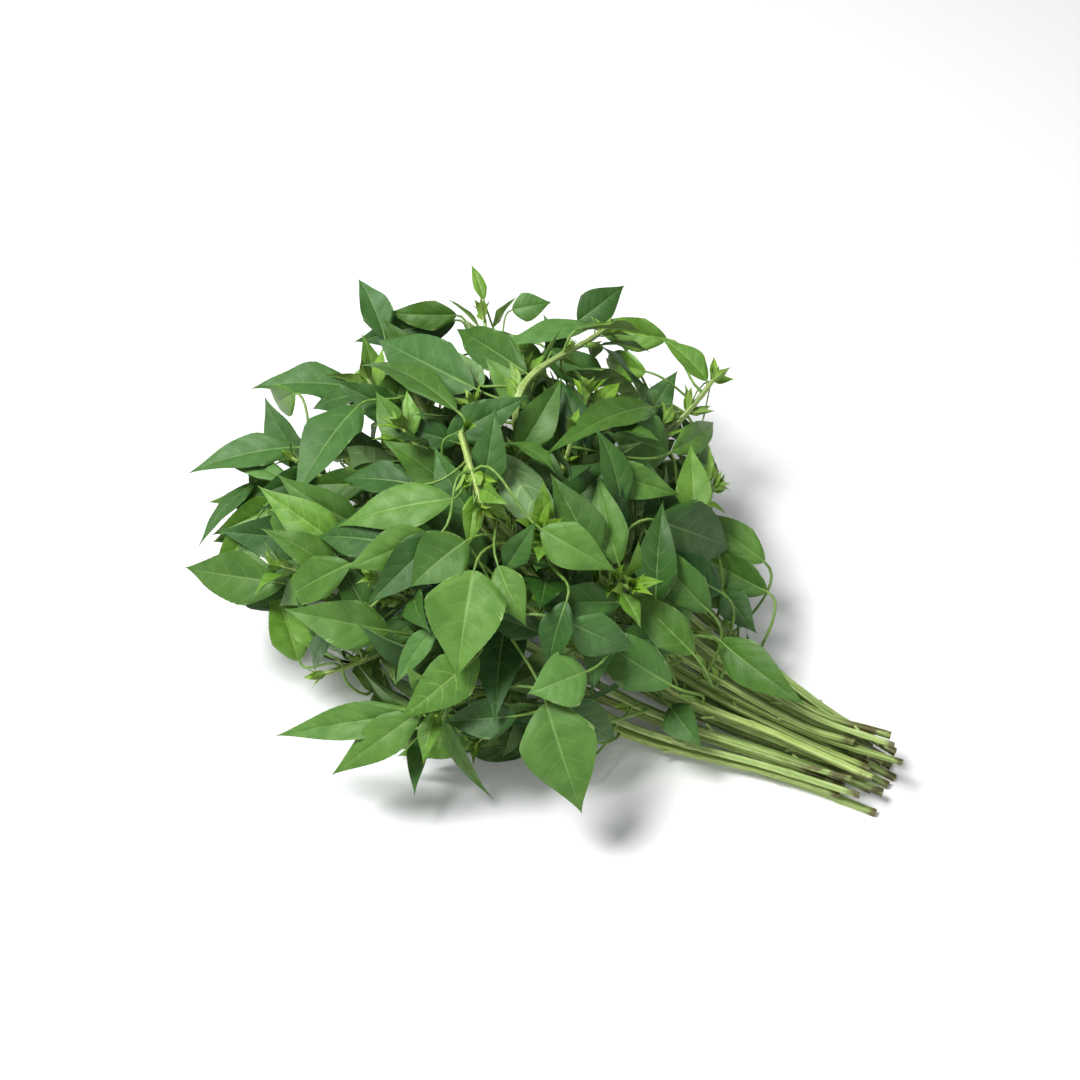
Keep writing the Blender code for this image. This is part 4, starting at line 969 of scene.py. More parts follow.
def grow_stems(crowd, rng):
    """All stems, each clear of the ones before it."""
    slots = stacked_slots()
    targets = matched_tips(slots, tip_targets(len(slots)))
    stems = []
    for number, (slot, (name, tip, passed)) in enumerate(zip(slots, targets)):
        lowest_row = number < PILE_ROWS[0]
        loose = number >= sum(PILE_ROWS[:-LOOSE_ROWS])
        for attempt in range(STEM_TRIES):
            sway = 0.0 if attempt == 0 else FIRST_SWAY + attempt * SWAY_STEP
            drift = Vector(rng.uniform(-sway, sway) for _ in range(3))
            goal = tip + drift * (PASSED_SWAY if passed else 1.0)
            path = stem_path(slot, goal, passed, lowest_row, loose, rng)
            roll = 0.0 if lowest_row else rng.uniform(*ROLLS)
            girth = 1.0 if lowest_row else rng.uniform(*GIRTHS)
            stem = Stem(name, path, roll, girth)
            verts, faces = stem_shell(stem, STEM_GAP)
            if crowd.clear(verts, faces):
                break
        else:
            continue
        crowd.add(verts, faces, ("stem", len(stems)))
        stem.number = len(stems)
        stem.core = BVHTree.FromPolygons(*stem_shell(stem, -ROOT_LIFT))
        stems.append(stem)
    return stems


def try_leaf(crowd, stem, joint, k, blade, stalk, stations):
    """Adds the leaf to the stem if nothing is in its way."""
    if k in joint["faces"]:
        return False
    sections = petiole_sections(stem, joint["at"], k, blade, stalk)
    sections += blade_sections(blade, stations)
    if not crowd.takes(*grown_shell(sections, blade), blade):
        return False
    root = stem.root_loop(joint["at"], k, ROOT_LIFT)
    beyond = sections[0]["centre"] + sections[0]["heading"] * ROOT_BEYOND
    verts, faces = leaf_shell([root, loop_points(sections[0])], beyond)
    if BVHTree.FromPolygons(verts, faces).overlap(stem.core):
        return False
    verts, faces = leaf_shell([root, loop_points(sections[0], CLEARANCE)], beyond)
    if not crowd.clear(verts, faces, skip=(("stem", stem.number),)):
        return False
    stem.add(joint, k, {"sections": sections, "blade": blade})
    loops = [loop_points(s) for s in sections]
    verts, faces = leaf_shell([root] + loops, blade["tip"])
    crowd.add(verts, faces, ("leaf", stem.number))
    return True


def seen_blade(name, push):
    """A leaf of the photograph, pushed along the line of sight."""
    base_pixel, tip_pixel, width, roll, base_lift, tip_lift = SEEN_LEAVES[name]
    base = seen_on_dome(base_pixel, base_lift - push)
    tip = seen_on_dome(tip_pixel, tip_lift - push)
    heading = (tip - base).normalized()
    towards_eye = (VIEW_EYE - (base + tip) / 2).normalized()
    facing = towards_eye * EYE_SHARE + dome_outward((base + tip) / 2) * (1.0 - EYE_SHARE)
    up = Matrix.Rotation(math.radians(roll), 3, heading) @ square_to(facing, heading)
    return make_blade(name, base, tip, up, width, SEEN_ARCH, SEEN_FOLD)


def joint_candidates(stems, blade, reach):
    """Places on the stems from which a blade's stalk could come, best first."""
    chord = (blade["tip"] - blade["base"]).normalized()
    wanted = blade["base"] - chord * STALK_BACK - VIEW_BACK * STALK_DEPTH
    found = []
    for stem in stems:
        for distance in np.arange(FIRST_JOINT, stem.path.length - LAST_JOINT, JOINT_STEP):
            place = stem.path.at(distance)[0]
            if place.x > NECK_X + JOINT_LIMIT or (place - wanted).length > reach:
                continue
            for k in range(4):
                root, outward = stem.face(distance, k)
                run = blade["base"] - root
                facing = outward.dot(run.normalized())
                follow = chord.dot(run.normalized())
                if run.length < SHORTEST_STALK or facing < LEAST_FACING or follow < LEAST_FOLLOW:
                    continue
                cost = (root - wanted).length + LONG_COST * max(0.0, run.length - LONG_STALK)
                cost += BEND_COST * (1.0 - facing) + TURN_COST * (1.0 - follow)
                found.append((cost, stem.number, distance, k))
    return sorted(found)


def hang_blade(crowd, stems, blade, stalk, stations, reach, tries):
    """Grows a blade in its given place from the first stem joint whose stalk gets there."""
    if not crowd.takes(*grown_shell(blade_sections(blade, stations), blade), blade):
        return False
    for _, number, distance, k in joint_candidates(stems, blade, reach)[:tries]:
        joint = stems[number].free_joint(distance)
        if joint is None:
            continue
        if try_leaf(crowd, stems[number], joint, k, blade, stalk, stations):
            return True
    return False


def place_seen_leaves(crowd, stems):
    """Leaves of the photograph, each as near to its place as the others allow."""
    for name in SEEN_LEAVES:
        for push in PUSHES:
            blade = seen_blade(name, push)
            if hang_blade(
                    crowd, stems, blade, SEEN_STALK, SEEN_BLADE, SEEN_REACH, SEEN_JOINTS):
                crowd.keep_seen(blade)
                break


def ruled_blade(stem, distance, k, length, width, upright, rng):
    """A leaf grown by rule: out of the stem's face, towards the light and the dome's edge."""
    root, outward = stem.face(distance, k)
    heading = stem.frame(distance)[1]
    light = dome_outward(root)
    depth = to_unit(root - DOME_CENTRE).length
    scatter = jitter(rng, SCATTER)
    if upright:
        off, along, stray = YOUNG_LEAD
        lead = outward * off + heading * along + scatter * stray
        stalk = length * YOUNG_STALK[0] + YOUNG_STALK[1]
        straight, along, off = YOUNG_COURSE
        course = lead.normalized() * straight + heading * along + outward * off
    else:
        off, along, stray = LEAD
        lead = outward * off + heading * along + scatter * stray
        stalk = rng.uniform(*STALK_LENGTHS)
        off, along, free = COURSE
        course = outward * off + heading * along + light * free + scatter
        flat = min(1.0, max(0.0, depth - DEPTH_START) * DEPTH_GAIN)
        course -= light * (course.dot(light) * flat)
        course.z -= rng.uniform(*SINKS)
    base = root + lead.normalized() * stalk
    course.normalize()
    up = heading * UP_MIX[0] + light * UP_MIX[1]
    up += jitter(rng, UP_SCATTER)
    return make_blade("", base, base + course * length, square_to(up, course), width,
                      rng.uniform(*ARCHES), rng.uniform(*FOLDS))


def within_bunch(blade):
    """Whether a leaf grown by rule keeps to the foliage that the photograph shows."""
    if blade["tip"].x > NECK_X + PAST_NECK:
        return False
    if to_unit(blade["tip"] - DOME_CENTRE).length > DOME_REACH:
        return False
    middle = blade["base"].lerp(blade["tip"], 0.5)
    return inside_edge(pixel_of(blade["tip"])) and inside_edge(pixel_of(middle))


def grow_pair(crowd, stem, pair, rng, tries):
    """Two leaves on opposite faces of one joint, each pair turned from the last."""
    below, length, width = LEAF_PAIRS[pair]
    distance = stem.path.length - below
    if stem.path.at(distance)[0].x > NECK_X + PAIR_PAST_NECK:
        return
    joint = stem.free_joint(distance)
    if joint is None:
        return
    small = pair < ROSETTE_PAIRS
    stalk = SMALL_STALK if small else FILL_STALK
    stations = SMALL_BLADE if small else FILL_BLADE
    for k in (pair % 2, pair % 2 + 2):
        for attempt in range(tries):
            scale = rng.uniform(*SIZES) * (1.0 - SHRINK * attempt / tries)
            blade = ruled_blade(stem, distance, k, length * scale, width * scale, small, rng)
            if not within_bunch(blade):
                continue
            if try_leaf(crowd, stem, joint, k, blade, stalk, stations):
                break


def gap_spots():
    """Places on the dome, each with the direction from which it is looked into."""
    spots = []
    for down in range(*SPOT_ROWS, SPOT_PIXELS):
        for across in range(*SPOT_COLUMNS, SPOT_PIXELS):
            if inside_edge((across, down)):
                spots.append((seen_on_dome((across, down), 0.0), -sight_line((across, down))))
    for _, spot in dome_spread(GAP_SPOTS, SPOT_REACH):
        if spot.x < NECK_X + SPOT_PAST_NECK and spot.z > SPOT_LOWEST:
            spots.append((spot, dome_outward(spot)))
    return spots


def gap_blade(spot, outward, shrink, rng):
    """A leaf lying over a gap, its tip away from the neck."""
    length = rng.uniform(*GAP_LENGTHS) * (1.0 - GAP_SHRINK * shrink)
    away = to_unit(spot - DOME_CENTRE)
    course = Vector((GAP_COURSE[0], GAP_COURSE[1] * away.y, 0.0))
    course += jitter(rng, COURSE_SCATTER)
    course -= outward * (course.dot(outward) + rng.uniform(*TILTS))
    course.normalize()
    middle = spot - outward * rng.uniform(*GAP_DEPTHS)
    up = outward + jitter(rng, UP_SCATTER)
    half = course * length * 0.5
    return make_blade("", middle - half, middle + half, square_to(up, course),
                      length * rng.uniform(*GAP_SLENDERNESS), rng.uniform(*GAP_ARCHES),
                      rng.uniform(*GAP_FOLDS))


def close_gaps(crowd, stems, rng):
    """Leaves laid over the places where the dome can still be looked into."""
    for spot, outward in gap_spots():
        if crowd.meets(spot + outward * LOOK_FROM, -outward, GAP_DEPTH):
            continue
        for attempt in range(GAP_TRIES):
            blade = gap_blade(spot, outward, attempt / GAP_TRIES, rng)
            if not within_bunch(blade):
                continue
            if hang_blade(crowd, stems, blade, FILL_STALK, FILL_BLADE, FILL_REACH, FILL_JOINTS):
                break


def grow_leaves(crowd, stems, rng):
    """Small leaves at the seen tips, then the seen leaves, then all the rest by rule."""
    seen = [s for s in stems if s.name in SEEN_TIPS]
    for stem in seen:
        for pair in range(ROSETTE_PAIRS):
            grow_pair(crowd, stem, pair, rng, TIP_TRIES)
    place_seen_leaves(crowd, stems)
    for pair in range(OUTER_PAIRS):
        for stem in stems:
            if pair >= ROSETTE_PAIRS or stem not in seen:
                grow_pair(crowd, stem, pair, rng, OUTER_TRIES)
    close_gaps(crowd, stems, rng)
    for pair in range(OUTER_PAIRS, len(LEAF_PAIRS)):
        for stem in stems:
            grow_pair(crowd, stem, pair, rng, INNER_TRIES)


def stem_rings(stem):
    """Distances of a stem's rings: two at each joint, more where a stretch is long."""
    last = stem.path.length - BUD_LENGTH * 0.5
    marks = [0.0]
    for joint in sorted(stem.joints, key=lambda j: j["at"]):
        marks += [joint["at"] - NODE_HALF, joint["at"] + NODE_HALF]
    marks.append(max(last, marks[-1] + LAST_RING_GAP))
    rings = []
    for a, b in zip(marks, marks[1:]):
        rings.append(a)
        parts = math.ceil((b - a) / STEM_STEP)
        rings += [a + (b - a) * i / parts for i in range(1, parts)]
    rings.append(marks[-1])
    return rings


def sprig_mesh(stem):
    """Closed shell of a stem with its leaves, each leaf grown out of one face of a joint."""
    verts = []
    faces = []
    owners = []

    def add_loop(points):
        verts.extend(points)
        return list(range(len(verts) - len(points), len(verts)))

    rings = stem_rings(stem)
    loops = [add_loop(stem.ring(d)) for d in rings]
    joints = {round(j["at"] - NODE_HALF, 4): j for j in stem.joints}
    faces += [tuple(reversed(loops[0][:3])), (loops[0][3], loops[0][2], loops[0][0])]
    for distance, a, b in zip(rings, loops, loops[1:]):
        joint = joints.get(round(distance, 4), {"faces": {}})
        for k in range(4):
            n = (k + 1) % 4
            leaf = joint["faces"].get(k)
            if leaf is None:
                faces += [(a[k], a[n], b[n]), (a[k], b[n], b[k])]
                continue
            root = [a[k], a[n], b[n], b[k]]
            owners += [None] * (len(faces) - len(owners))
            for part in leaf["sections"]:
                following = add_loop(loop_points(part))
                faces += bridge(turned(root, following, verts), following)
                root = following
            faces += fan(root, add_loop([leaf["blade"]["tip"]])[0])
            owners += [leaf] * (len(faces) - len(owners))
    tip = add_loop([stem.path.points[-1] + stem.path.frames[-1][0] * BUD_LENGTH])[0]
    faces += fan(loops[-1], tip)
    owners += [None] * (len(faces) - len(owners))
    return verts, faces, owners


def swollen(verts, faces, grow):
    """The same vertices moved outward along the mean of their faces' normals."""
    normals = [Vector() for _ in verts]
    for a, b, c in faces:
        normal = (verts[b] - verts[a]).cross(verts[c] - verts[a]).normalized()
        for i in (a, b, c):
            normals[i] += normal
    return [v + n.normalized() * grow for v, n in zip(verts, normals)]


def touching_leaves(stems):
    """Leaves that touch another sprig or another part of their own."""
    shells = [sprig_mesh(stem) for stem in stems]
    trees = [BVHTree.FromPolygons(v, f) for v, f, _ in shells]
    found = []

    def blame(first, second):
        culprits = [leaf for leaf in (first, second) if leaf is not None]
        if culprits:
            found.append(min(culprits, key=lambda leaf: bool(leaf["blade"]["name"])))

    for i, (verts, faces, owners) in enumerate(shells):
        for p, q in trees[i].overlap(trees[i]):
            if p < q and not set(faces[p]) & set(faces[q]):
                blame(owners[p], owners[q])
        wide = BVHTree.FromPolygons(swollen(verts, faces, LEAST_GAP), faces)
        for j in range(len(shells)):
            if j != i:
                for p, q in wide.overlap(trees[j]):
                    blame(owners[p], shells[j][2][q])
    return found


def drop_touching(stems):
    """Takes off every leaf that still touches something, until none does."""
    touching = touching_leaves(stems)
    while touching:
        for stem in stems:
            for joint in stem.joints:
                for k, leaf in list(joint["faces"].items()):
                    if any(leaf is other for other in touching):
                        del joint["faces"][k]
        touching = touching_leaves(stems)


def grow_bunch():
    """All sprigs of the bunch, in millimetres."""
    rng = random.Random(SEED)
    crowd = Crowd()
    stems = grow_stems(crowd, rng)
    grow_leaves(crowd, stems, rng)
    drop_touching(stems)
    return stems


def footprint_centre(shells):
    """Point below the middle of the whole bunch, on the surface it lies on."""
    low, high = box([tuple(v) for verts, _, _ in shells for v in verts])
    return Vector(((low[0] + high[0]) / 2, (low[1] + high[1]) / 2, low[2]))


def linked(thing):
    """Puts an object into the scene."""
    bpy.context.scene.collection.objects.link(thing)
    return thing


class Skin:
    """Points, faces and per-point values of one piece, gathered before its mesh is made."""

    def __init__(self):
        self.points = []
        self.faces = []
        self.kinds = []
        self.values = {}

    def add(self, points, **values):
        """Adds points with their values and returns the number of the first."""
        first = len(self.points)
        self.points += [tuple(p) for p in points]
        for name, value in values.items():
            numbers = np.broadcast_to(value, len(points)).tolist()
            self.values.setdefault(name, []).extend(numbers)
        return first

    def cover(self, faces, kind):
        """Adds faces of one kind, which is the number of their material."""
        self.faces += faces
        self.kinds += [kind] * len(faces)

    def build(self, name, centre, materials):
        """A smooth mesh object in metres, with sharp edges where a blade's two sides meet."""
        points = np.array(self.points) - np.array(centre)
        points[:, 2] = np.maximum(points[:, 2], FLOOR_CLEARANCE)
        mesh = bpy.data.meshes.new(name)
        mesh.from_pydata((points * METRE).tolist(), [], self.faces)
        mesh.polygons.foreach_set("material_index", self.kinds)
        for key, numbers in self.values.items():
            mesh.attributes.new(key, "FLOAT", "POINT").data.foreach_set("value", numbers)
        mesh.shade_smooth()
        mesh.set_sharp_from_angle(angle=math.radians(SHARP_ANGLE))
        for material in materials:
            mesh.materials.append(material)
        return linked(bpy.data.objects.new(name, mesh))


def tube_quads(numbers):
    """Quads between the rings of a tube, whose point numbers are one ring a row."""
    ahead = np.roll(numbers, -1, axis=1)
    quads = np.stack((numbers[:-1], ahead[:-1], ahead[1:], numbers[1:]), axis=-1)
    return quads.reshape(-1, 4).tolist()


def cone(ring, end):
    """Triangles from a ring of point numbers to one point."""
    return np.stack((ring, np.roll(ring, -1), np.full(len(ring), end)), axis=-1).tolist()


def grid_faces(numbers, end, turned_over):
    """Quads over a grid of point numbers, and a fan from its last row to the tip."""
    a, b = numbers[:-1, :-1], numbers[1:, :-1]
    c, d = numbers[1:, 1:], numbers[:-1, 1:]
    quads = np.stack((a, b, c, d), axis=-1).reshape(-1, 4)
    last = numbers[-1]
    fans = np.stack((last[:-1], np.full(len(last) - 1, end), last[1:]), axis=-1)
    if turned_over:
        quads = quads[:, ::-1]
        fans = fans[:, ::-1]
    return quads.tolist() + fans.tolist()


def half_widths(shares):
    """outline() for an array of shares."""
    shares = np.clip(shares, 0.0, 1.0)
    bow = np.maximum(np.sin(np.pi * shares ** WIDEST_POWER), 0.0)
    return bow ** (FULLNESS + TIP_DRAWN * shares)


def spine(blade, along):
    """Points and directions of a blade's middle line for an array of shares of its length."""
    base, tip, up = (np.array(blade[key]) for key in ("base", "tip", "up"))
    chord = tip - base
    bulge = base + chord * BULGE_AT + up * (blade["arch"] * np.linalg.norm(chord))
    a = np.asarray(along)[..., None]
    points = base * (1 - a) ** 2 + bulge * (2 * a * (1 - a)) + tip * a ** 2
    headings = (bulge - base) * (1 - a) + (tip - bulge) * a
    headings /= np.linalg.norm(headings, axis=-1, keepdims=True)
    return points, headings


def blade_side(blade):
    """Sideways direction of a blade."""
    side = np.cross(np.array(blade["up"]), np.array(blade["tip"] - blade["base"]))
    return side / np.linalg.norm(side)


def curl_drop(look, length, along):
    """How far a blade's curl lowers it, at shares of its length."""
    return look["curl"] * length * np.maximum(0.0, along - CURL_FROM) ** 2


def blade_look(blade, young, rng):
    """Tone, warmth and the small bends that make each leaf its own; the dark tone of a seen leaf
    that lies behind or under others is partly painted shade.
    """
    named = [key for key, names in SEEN_TONES.items() if blade["name"] in names]
    if young:
        length = (blade["tip"] - blade["base"]).length
        tone = rng.uniform(*YOUNG_TONES)
        warmth = YOUNG_WARMTH - length / YOUNG_LENGTH
    elif named:
        tone, warmth = TONES[named[0]]
    else:
        tone, warmth = TONES[rng.choice(GROWN_TONES)]
    spread = NAMED_TONE_SPREAD if named else TONE_SPREAD
    look = {
        "tone": min(1.0, max(0.0, tone + rng.gauss(0.0, spread))),
        "warmth": min(1.0, max(0.0, warmth + rng.gauss(0.0, spread))),
        "quilt": QUILT * (RIBBED_QUILT if blade["name"] in RIBBED else rng.uniform(*QUILTS)),
    }
    look.update((key, rng.uniform(*ends)) for key, ends in BENDS.items())
    return look


def add_blade(skin, blade, look, small):
    """A thin closed blade whose rows of points follow its side veins."""
    pairs = SMALL_VEIN_PAIRS if small else VEIN_PAIRS
    rows = pairs * (SMALL_ROWS_PER_VEIN if small else ROWS_PER_VEIN)
    columns = SEEN_HALF_COLUMNS if blade["name"] else HALF_COLUMNS
    if small:
        columns = SMALL_HALF_COLUMNS
    length = (blade["tip"] - blade["base"]).length
    size = min(1.0, length / FULL_RELIEF_LENGTH)

    # Share s of the length at which a row leaves the midrib, and place v across the blade
    place = np.arange(-columns, columns + 1) / columns
    place = np.sign(place) * np.abs(place) ** COLUMN_CROWDING
    width = len(place)
    s = np.repeat((np.arange(rows) / rows)[:, None], width, axis=1)
    v = np.repeat(place[None, :], rows, axis=0)
    share = np.abs(v)
    reach = s + VEIN_SWEEP * (1 - s)
    tooth = 1.0 + TOOTH * np.where(np.arange(rows)[:, None] % 2, 1.0, -1.0) * share ** 6
    along = s + (reach - s) * share ** VEIN_CURVE
    lateral = blade["width"] / 2 * half_widths(reach) * v * tooth
    points, headings = spine(blade, along)
    side = blade_side(blade)
    rise = np.cross(headings, side)
    turn = (look["twist"] * (along - TWIST_FROM))[..., None]
    reach_out = side * np.cos(turn) + rise * np.sin(turn)

    # Height over the middle line: fold and cup, bulges between veins, groove, waves and curl
    phase = s * pairs
    ripple = (1 - np.cos(2 * np.pi * phase)) / 2
    fade = np.sin(np.pi * np.clip(share, 0, 1) ** 0.8) * (1 - s) ** 0.4
    tilt = math.tan(blade["fold"]) + look["cup"] * share
    height = np.abs(lateral) * tilt * np.minimum(1.0, s * 6 + 0.4)
    height += look["quilt"] * size * ripple * fade
    height -= GROOVE * size * np.exp(-(share / GROOVE_SHARE) ** 2) * (1 - s)
    swing = np.sin(2 * np.pi * (along * look["waves"] + look["phase"] + look["skew"] * (v > 0)))
    bow = np.sin(np.pi * np.clip(along, 0, 1))
    height += WAVE * look["wave"] * size * swing * share ** 2 * bow
    height -= curl_drop(look, length, along)
    middle = points + reach_out * lateral[..., None] + rise * height[..., None]

    taper = np.minimum(1.0, s * rows / 2)
    thick = BLADE_THICKNESS / 2 * size * (1 - share ** 4) * taper
    relief = VEIN_RELIEF * size * (1 - ripple) ** 3 * (1 - share ** 2) * taper
    top = middle + rise * thick[..., None]
    low = middle - rise * (thick + relief)[..., None]
    tip_point, tip_heading = spine(blade, np.array([1.0]))
    tip = tip_point[0] - np.cross(tip_heading[0], side) * curl_drop(look, length, 1.0)

    # The underside shares the points of the edge and of the base with the top
    inner = np.ones((rows, width), bool)
    inner[0, :] = False
    inner[:, 0] = inner[:, -1] = False
    shades = {"tone": look["tone"], "warmth": look["warmth"]}
    first = skin.add(top.reshape(-1, 3), **shades, vein=phase.reshape(-1), across=share.reshape(-1))
    second = skin.add(low[inner], **shades, vein=phase[inner], across=share[inner])
    end = skin.add([tip], **shades, vein=float(pairs), across=0.0)
    upper = first + np.arange(rows * width).reshape(rows, width)
    lower = upper.copy()
    lower[inner] = second + np.arange(inner.sum())
    skin.cover(grid_faces(upper, end, False), 0)
    skin.cover(grid_faces(lower, end, True), 1)


def add_tube(skin, points, radii, reference, kind, vein, **values):
    """A closed round tube along points, with a point at its far end."""
    points = np.asarray(points)
    slopes = np.gradient(points, axis=0)
    slopes /= np.linalg.norm(slopes, axis=1, keepdims=True)
    top = np.array(reference, float)
    angles = (np.arange(STALK_SIDES) * (2 * np.pi / STALK_SIDES))[:, None]
    rings = []
    for place, slope, radius in zip(points[:-1], slopes, radii):
        side = np.cross(top, slope)
        side /= np.linalg.norm(side)
        top = np.cross(slope, side)
        rings.append(place + radius * (np.cos(angles) * side + np.sin(angles) * top))
    ring_points = np.concatenate(rings)
    first = skin.add(ring_points, **values, vein=np.repeat(vein[:-1], STALK_SIDES))
    end = skin.add(points[-1:], **values, vein=vein[-1])
    numbers = first + np.arange(len(ring_points)).reshape(-1, STALK_SIDES)
    faces = tube_quads(numbers) + cone(numbers[-1], end) + [numbers[0][::-1].tolist()]
    skin.cover(faces, kind)


def add_stalk(skin, stem, distance, k, blade, look, small):
    """The leaf's stalk, which runs on as the midrib under the blade."""
    root, outward = stem.face(distance, k)
    heading = Vector(spine(blade, np.array([0.0]))[1][0])
    run = (blade["base"] - root).length
    lead = root + outward * (run * STALK_LEAD)
    follow = blade["base"] - heading * (run * STALK_FOLLOW)
    rings = SMALL_STALK_RINGS if small else STALK_RINGS
    points = [root - outward * STALK_SUNK]
    for step in range(rings):
        points.append(bezier(root, lead, follow, blade["base"], step / rings)[0])
    length = (blade["tip"] - blade["base"]).length
    size = min(1.0, length / FULL_STALK_LENGTH)
    ribs = SMALL_STALK_RINGS if small else RIB_RINGS
    shares = np.linspace(0.0, RIB_SHARE, ribs)
    middle, headings = spine(blade, shares)
    rise = np.cross(headings, blade_side(blade))
    drop = RIB_DROP * size + curl_drop(look, length, shares)
    drop += GROOVE * size * 0.6 * np.minimum(1.0, shares * 5)
    middle = middle - rise * drop[:, None]
    path = np.concatenate((np.array([tuple(p) for p in points]), middle))
    radii = np.linspace(STALK_ROOT_RADIUS, STALK_RADIUS, 4).tolist()[:2]
    radii += [STALK_RADIUS] * (len(points) - 2)
    radii += np.linspace(RIB_RADIUS, RIB_TIP_RADIUS, ribs).tolist()
    radii = np.array(radii) * (THINNEST_STALK + (1.0 - THINNEST_STALK) * size)
    grown = np.concatenate((np.zeros(len(points)), shares + 0.15))
    add_tube(skin, path, radii, stem.frame(distance)[1], 2, grown,
             tone=look["tone"], warmth=look["warmth"], across=0.0)


def add_leaf(skin, stem, distance, k, blade, rng, young):
    """A blade and its stalk."""
    small = (blade["tip"] - blade["base"]).length < SMALL_BLADE_LENGTH
    look = blade_look(blade, young, rng)
    add_blade(skin, blade, look, small)
    add_stalk(skin, stem, distance, k, blade, look, small)


def add_tiny(skin, base, course, up, length, width, rng):
    """A small young leaf without a stalk."""
    blade = make_blade("", base, base + course * length, square_to(up, course), width,
                       rng.uniform(*TINY_ARCHES), rng.uniform(*TINY_FOLDS))
    add_blade(skin, blade, blade_look(blade, True, rng), True)


def add_tip(skin, stem, rng):
    """Pairs of ever smaller leaves closing round the end of a shoot."""
    place, heading, side, top = stem.frame(stem.path.length)
    spin = rng.uniform(0.0, math.pi)
    for below, length, width, spread in TIP_PAIRS:
        spin += math.pi / 2 + rng.uniform(-TIP_SPIN, TIP_SPIN)
        scale = rng.uniform(*TIP_SIZES)
        for turn in (spin, spin + math.pi):
            outward = side * math.cos(turn) + top * math.sin(turn)
            lean = math.radians(spread + rng.uniform(*TIP_LEANS))
            course = (heading * math.cos(lean) + outward * math.sin(lean)).normalized()
            base = place - heading * below + outward * TIP_HALF
            add_tiny(skin, base, course, heading * 0.3 - outward, length * scale,
                     width * scale, rng)


def add_axil(skin, stem, distance, k, rng):
    """The small leaves of the side shoot that starts above a leaf stalk."""
    root, outward = stem.face(distance, k)
    heading = stem.frame(distance)[1]
    across = outward.cross(heading)
    near_tip = stem.name in SEEN_TIPS and stem.path.length - distance < TIP_AXIL_RUN
    longest = rng.uniform(*(TIP_AXIL_LENGTHS if near_tip else AXIL_LENGTHS))
    for size, above in AXIL_PAIRS:
        length = longest * size
        for sign in (-1.0, 1.0):
            course = heading + outward * rng.uniform(*AXIL_LEANS)
            course += across * (sign * rng.uniform(*AXIL_SPREADS))
            base = root + heading * (AXIL_RISE + above) + outward * (0.2 + above * 0.5)
            up = heading * 0.2 - outward * 0.3 - across * sign
            add_tiny(skin, base, course.normalized(), up, length * rng.uniform(*AXIL_SIZES),
                     length * AXIL_SLENDERNESS, rng)


def stem_marks(stem, rng):
    """Distances of a stem's joints: those that bear leaves, and the bare ones below them."""
    marks = sorted(joint["at"] for joint in stem.joints)
    first = marks[0] if marks else stem.path.length
    bare = rng.uniform(*FIRST_SCARS)
    while bare < first - FIRST_SCARS[0]:
        marks.append(bare)
        bare += rng.uniform(*SCAR_SPACING)
    return sorted(marks)


def add_stub(skin, stem, distance, rng):
    """The stub of a leaf stalk at a bare joint."""
    root, outward = stem.face(distance, rng.randrange(4))
    heading = stem.frame(distance)[1]
    course = (outward + heading * rng.uniform(*STUB_LEANS)).normalized()
    length = rng.uniform(*STUB_LENGTHS)
    start = root - outward * STALK_SUNK
    bend = heading * rng.uniform(*STUB_BENDS)
    shares, radii = zip(*STUB_SHAPE)
    points = [tuple(start + (course + bend * share) * (length * share)) for share in shares]
    add_tube(skin, points, np.array(radii) * STUB_RADIUS, heading, 0, np.zeros(len(points)),
             tone=rng.uniform(*STUB_TONES), warmth=rng.uniform(*STUB_WARMTHS), across=1.0,
             joint=STUB_JOINT)


def stem_section():
    """The points of a stem's section, one quarter after the other."""
    quarter = list(STEM_QUARTER)
    section = []
    for _ in range(4):
        section += quarter
        quarter = [(-y, x) for x, y in quarter]
    return np.array(section)


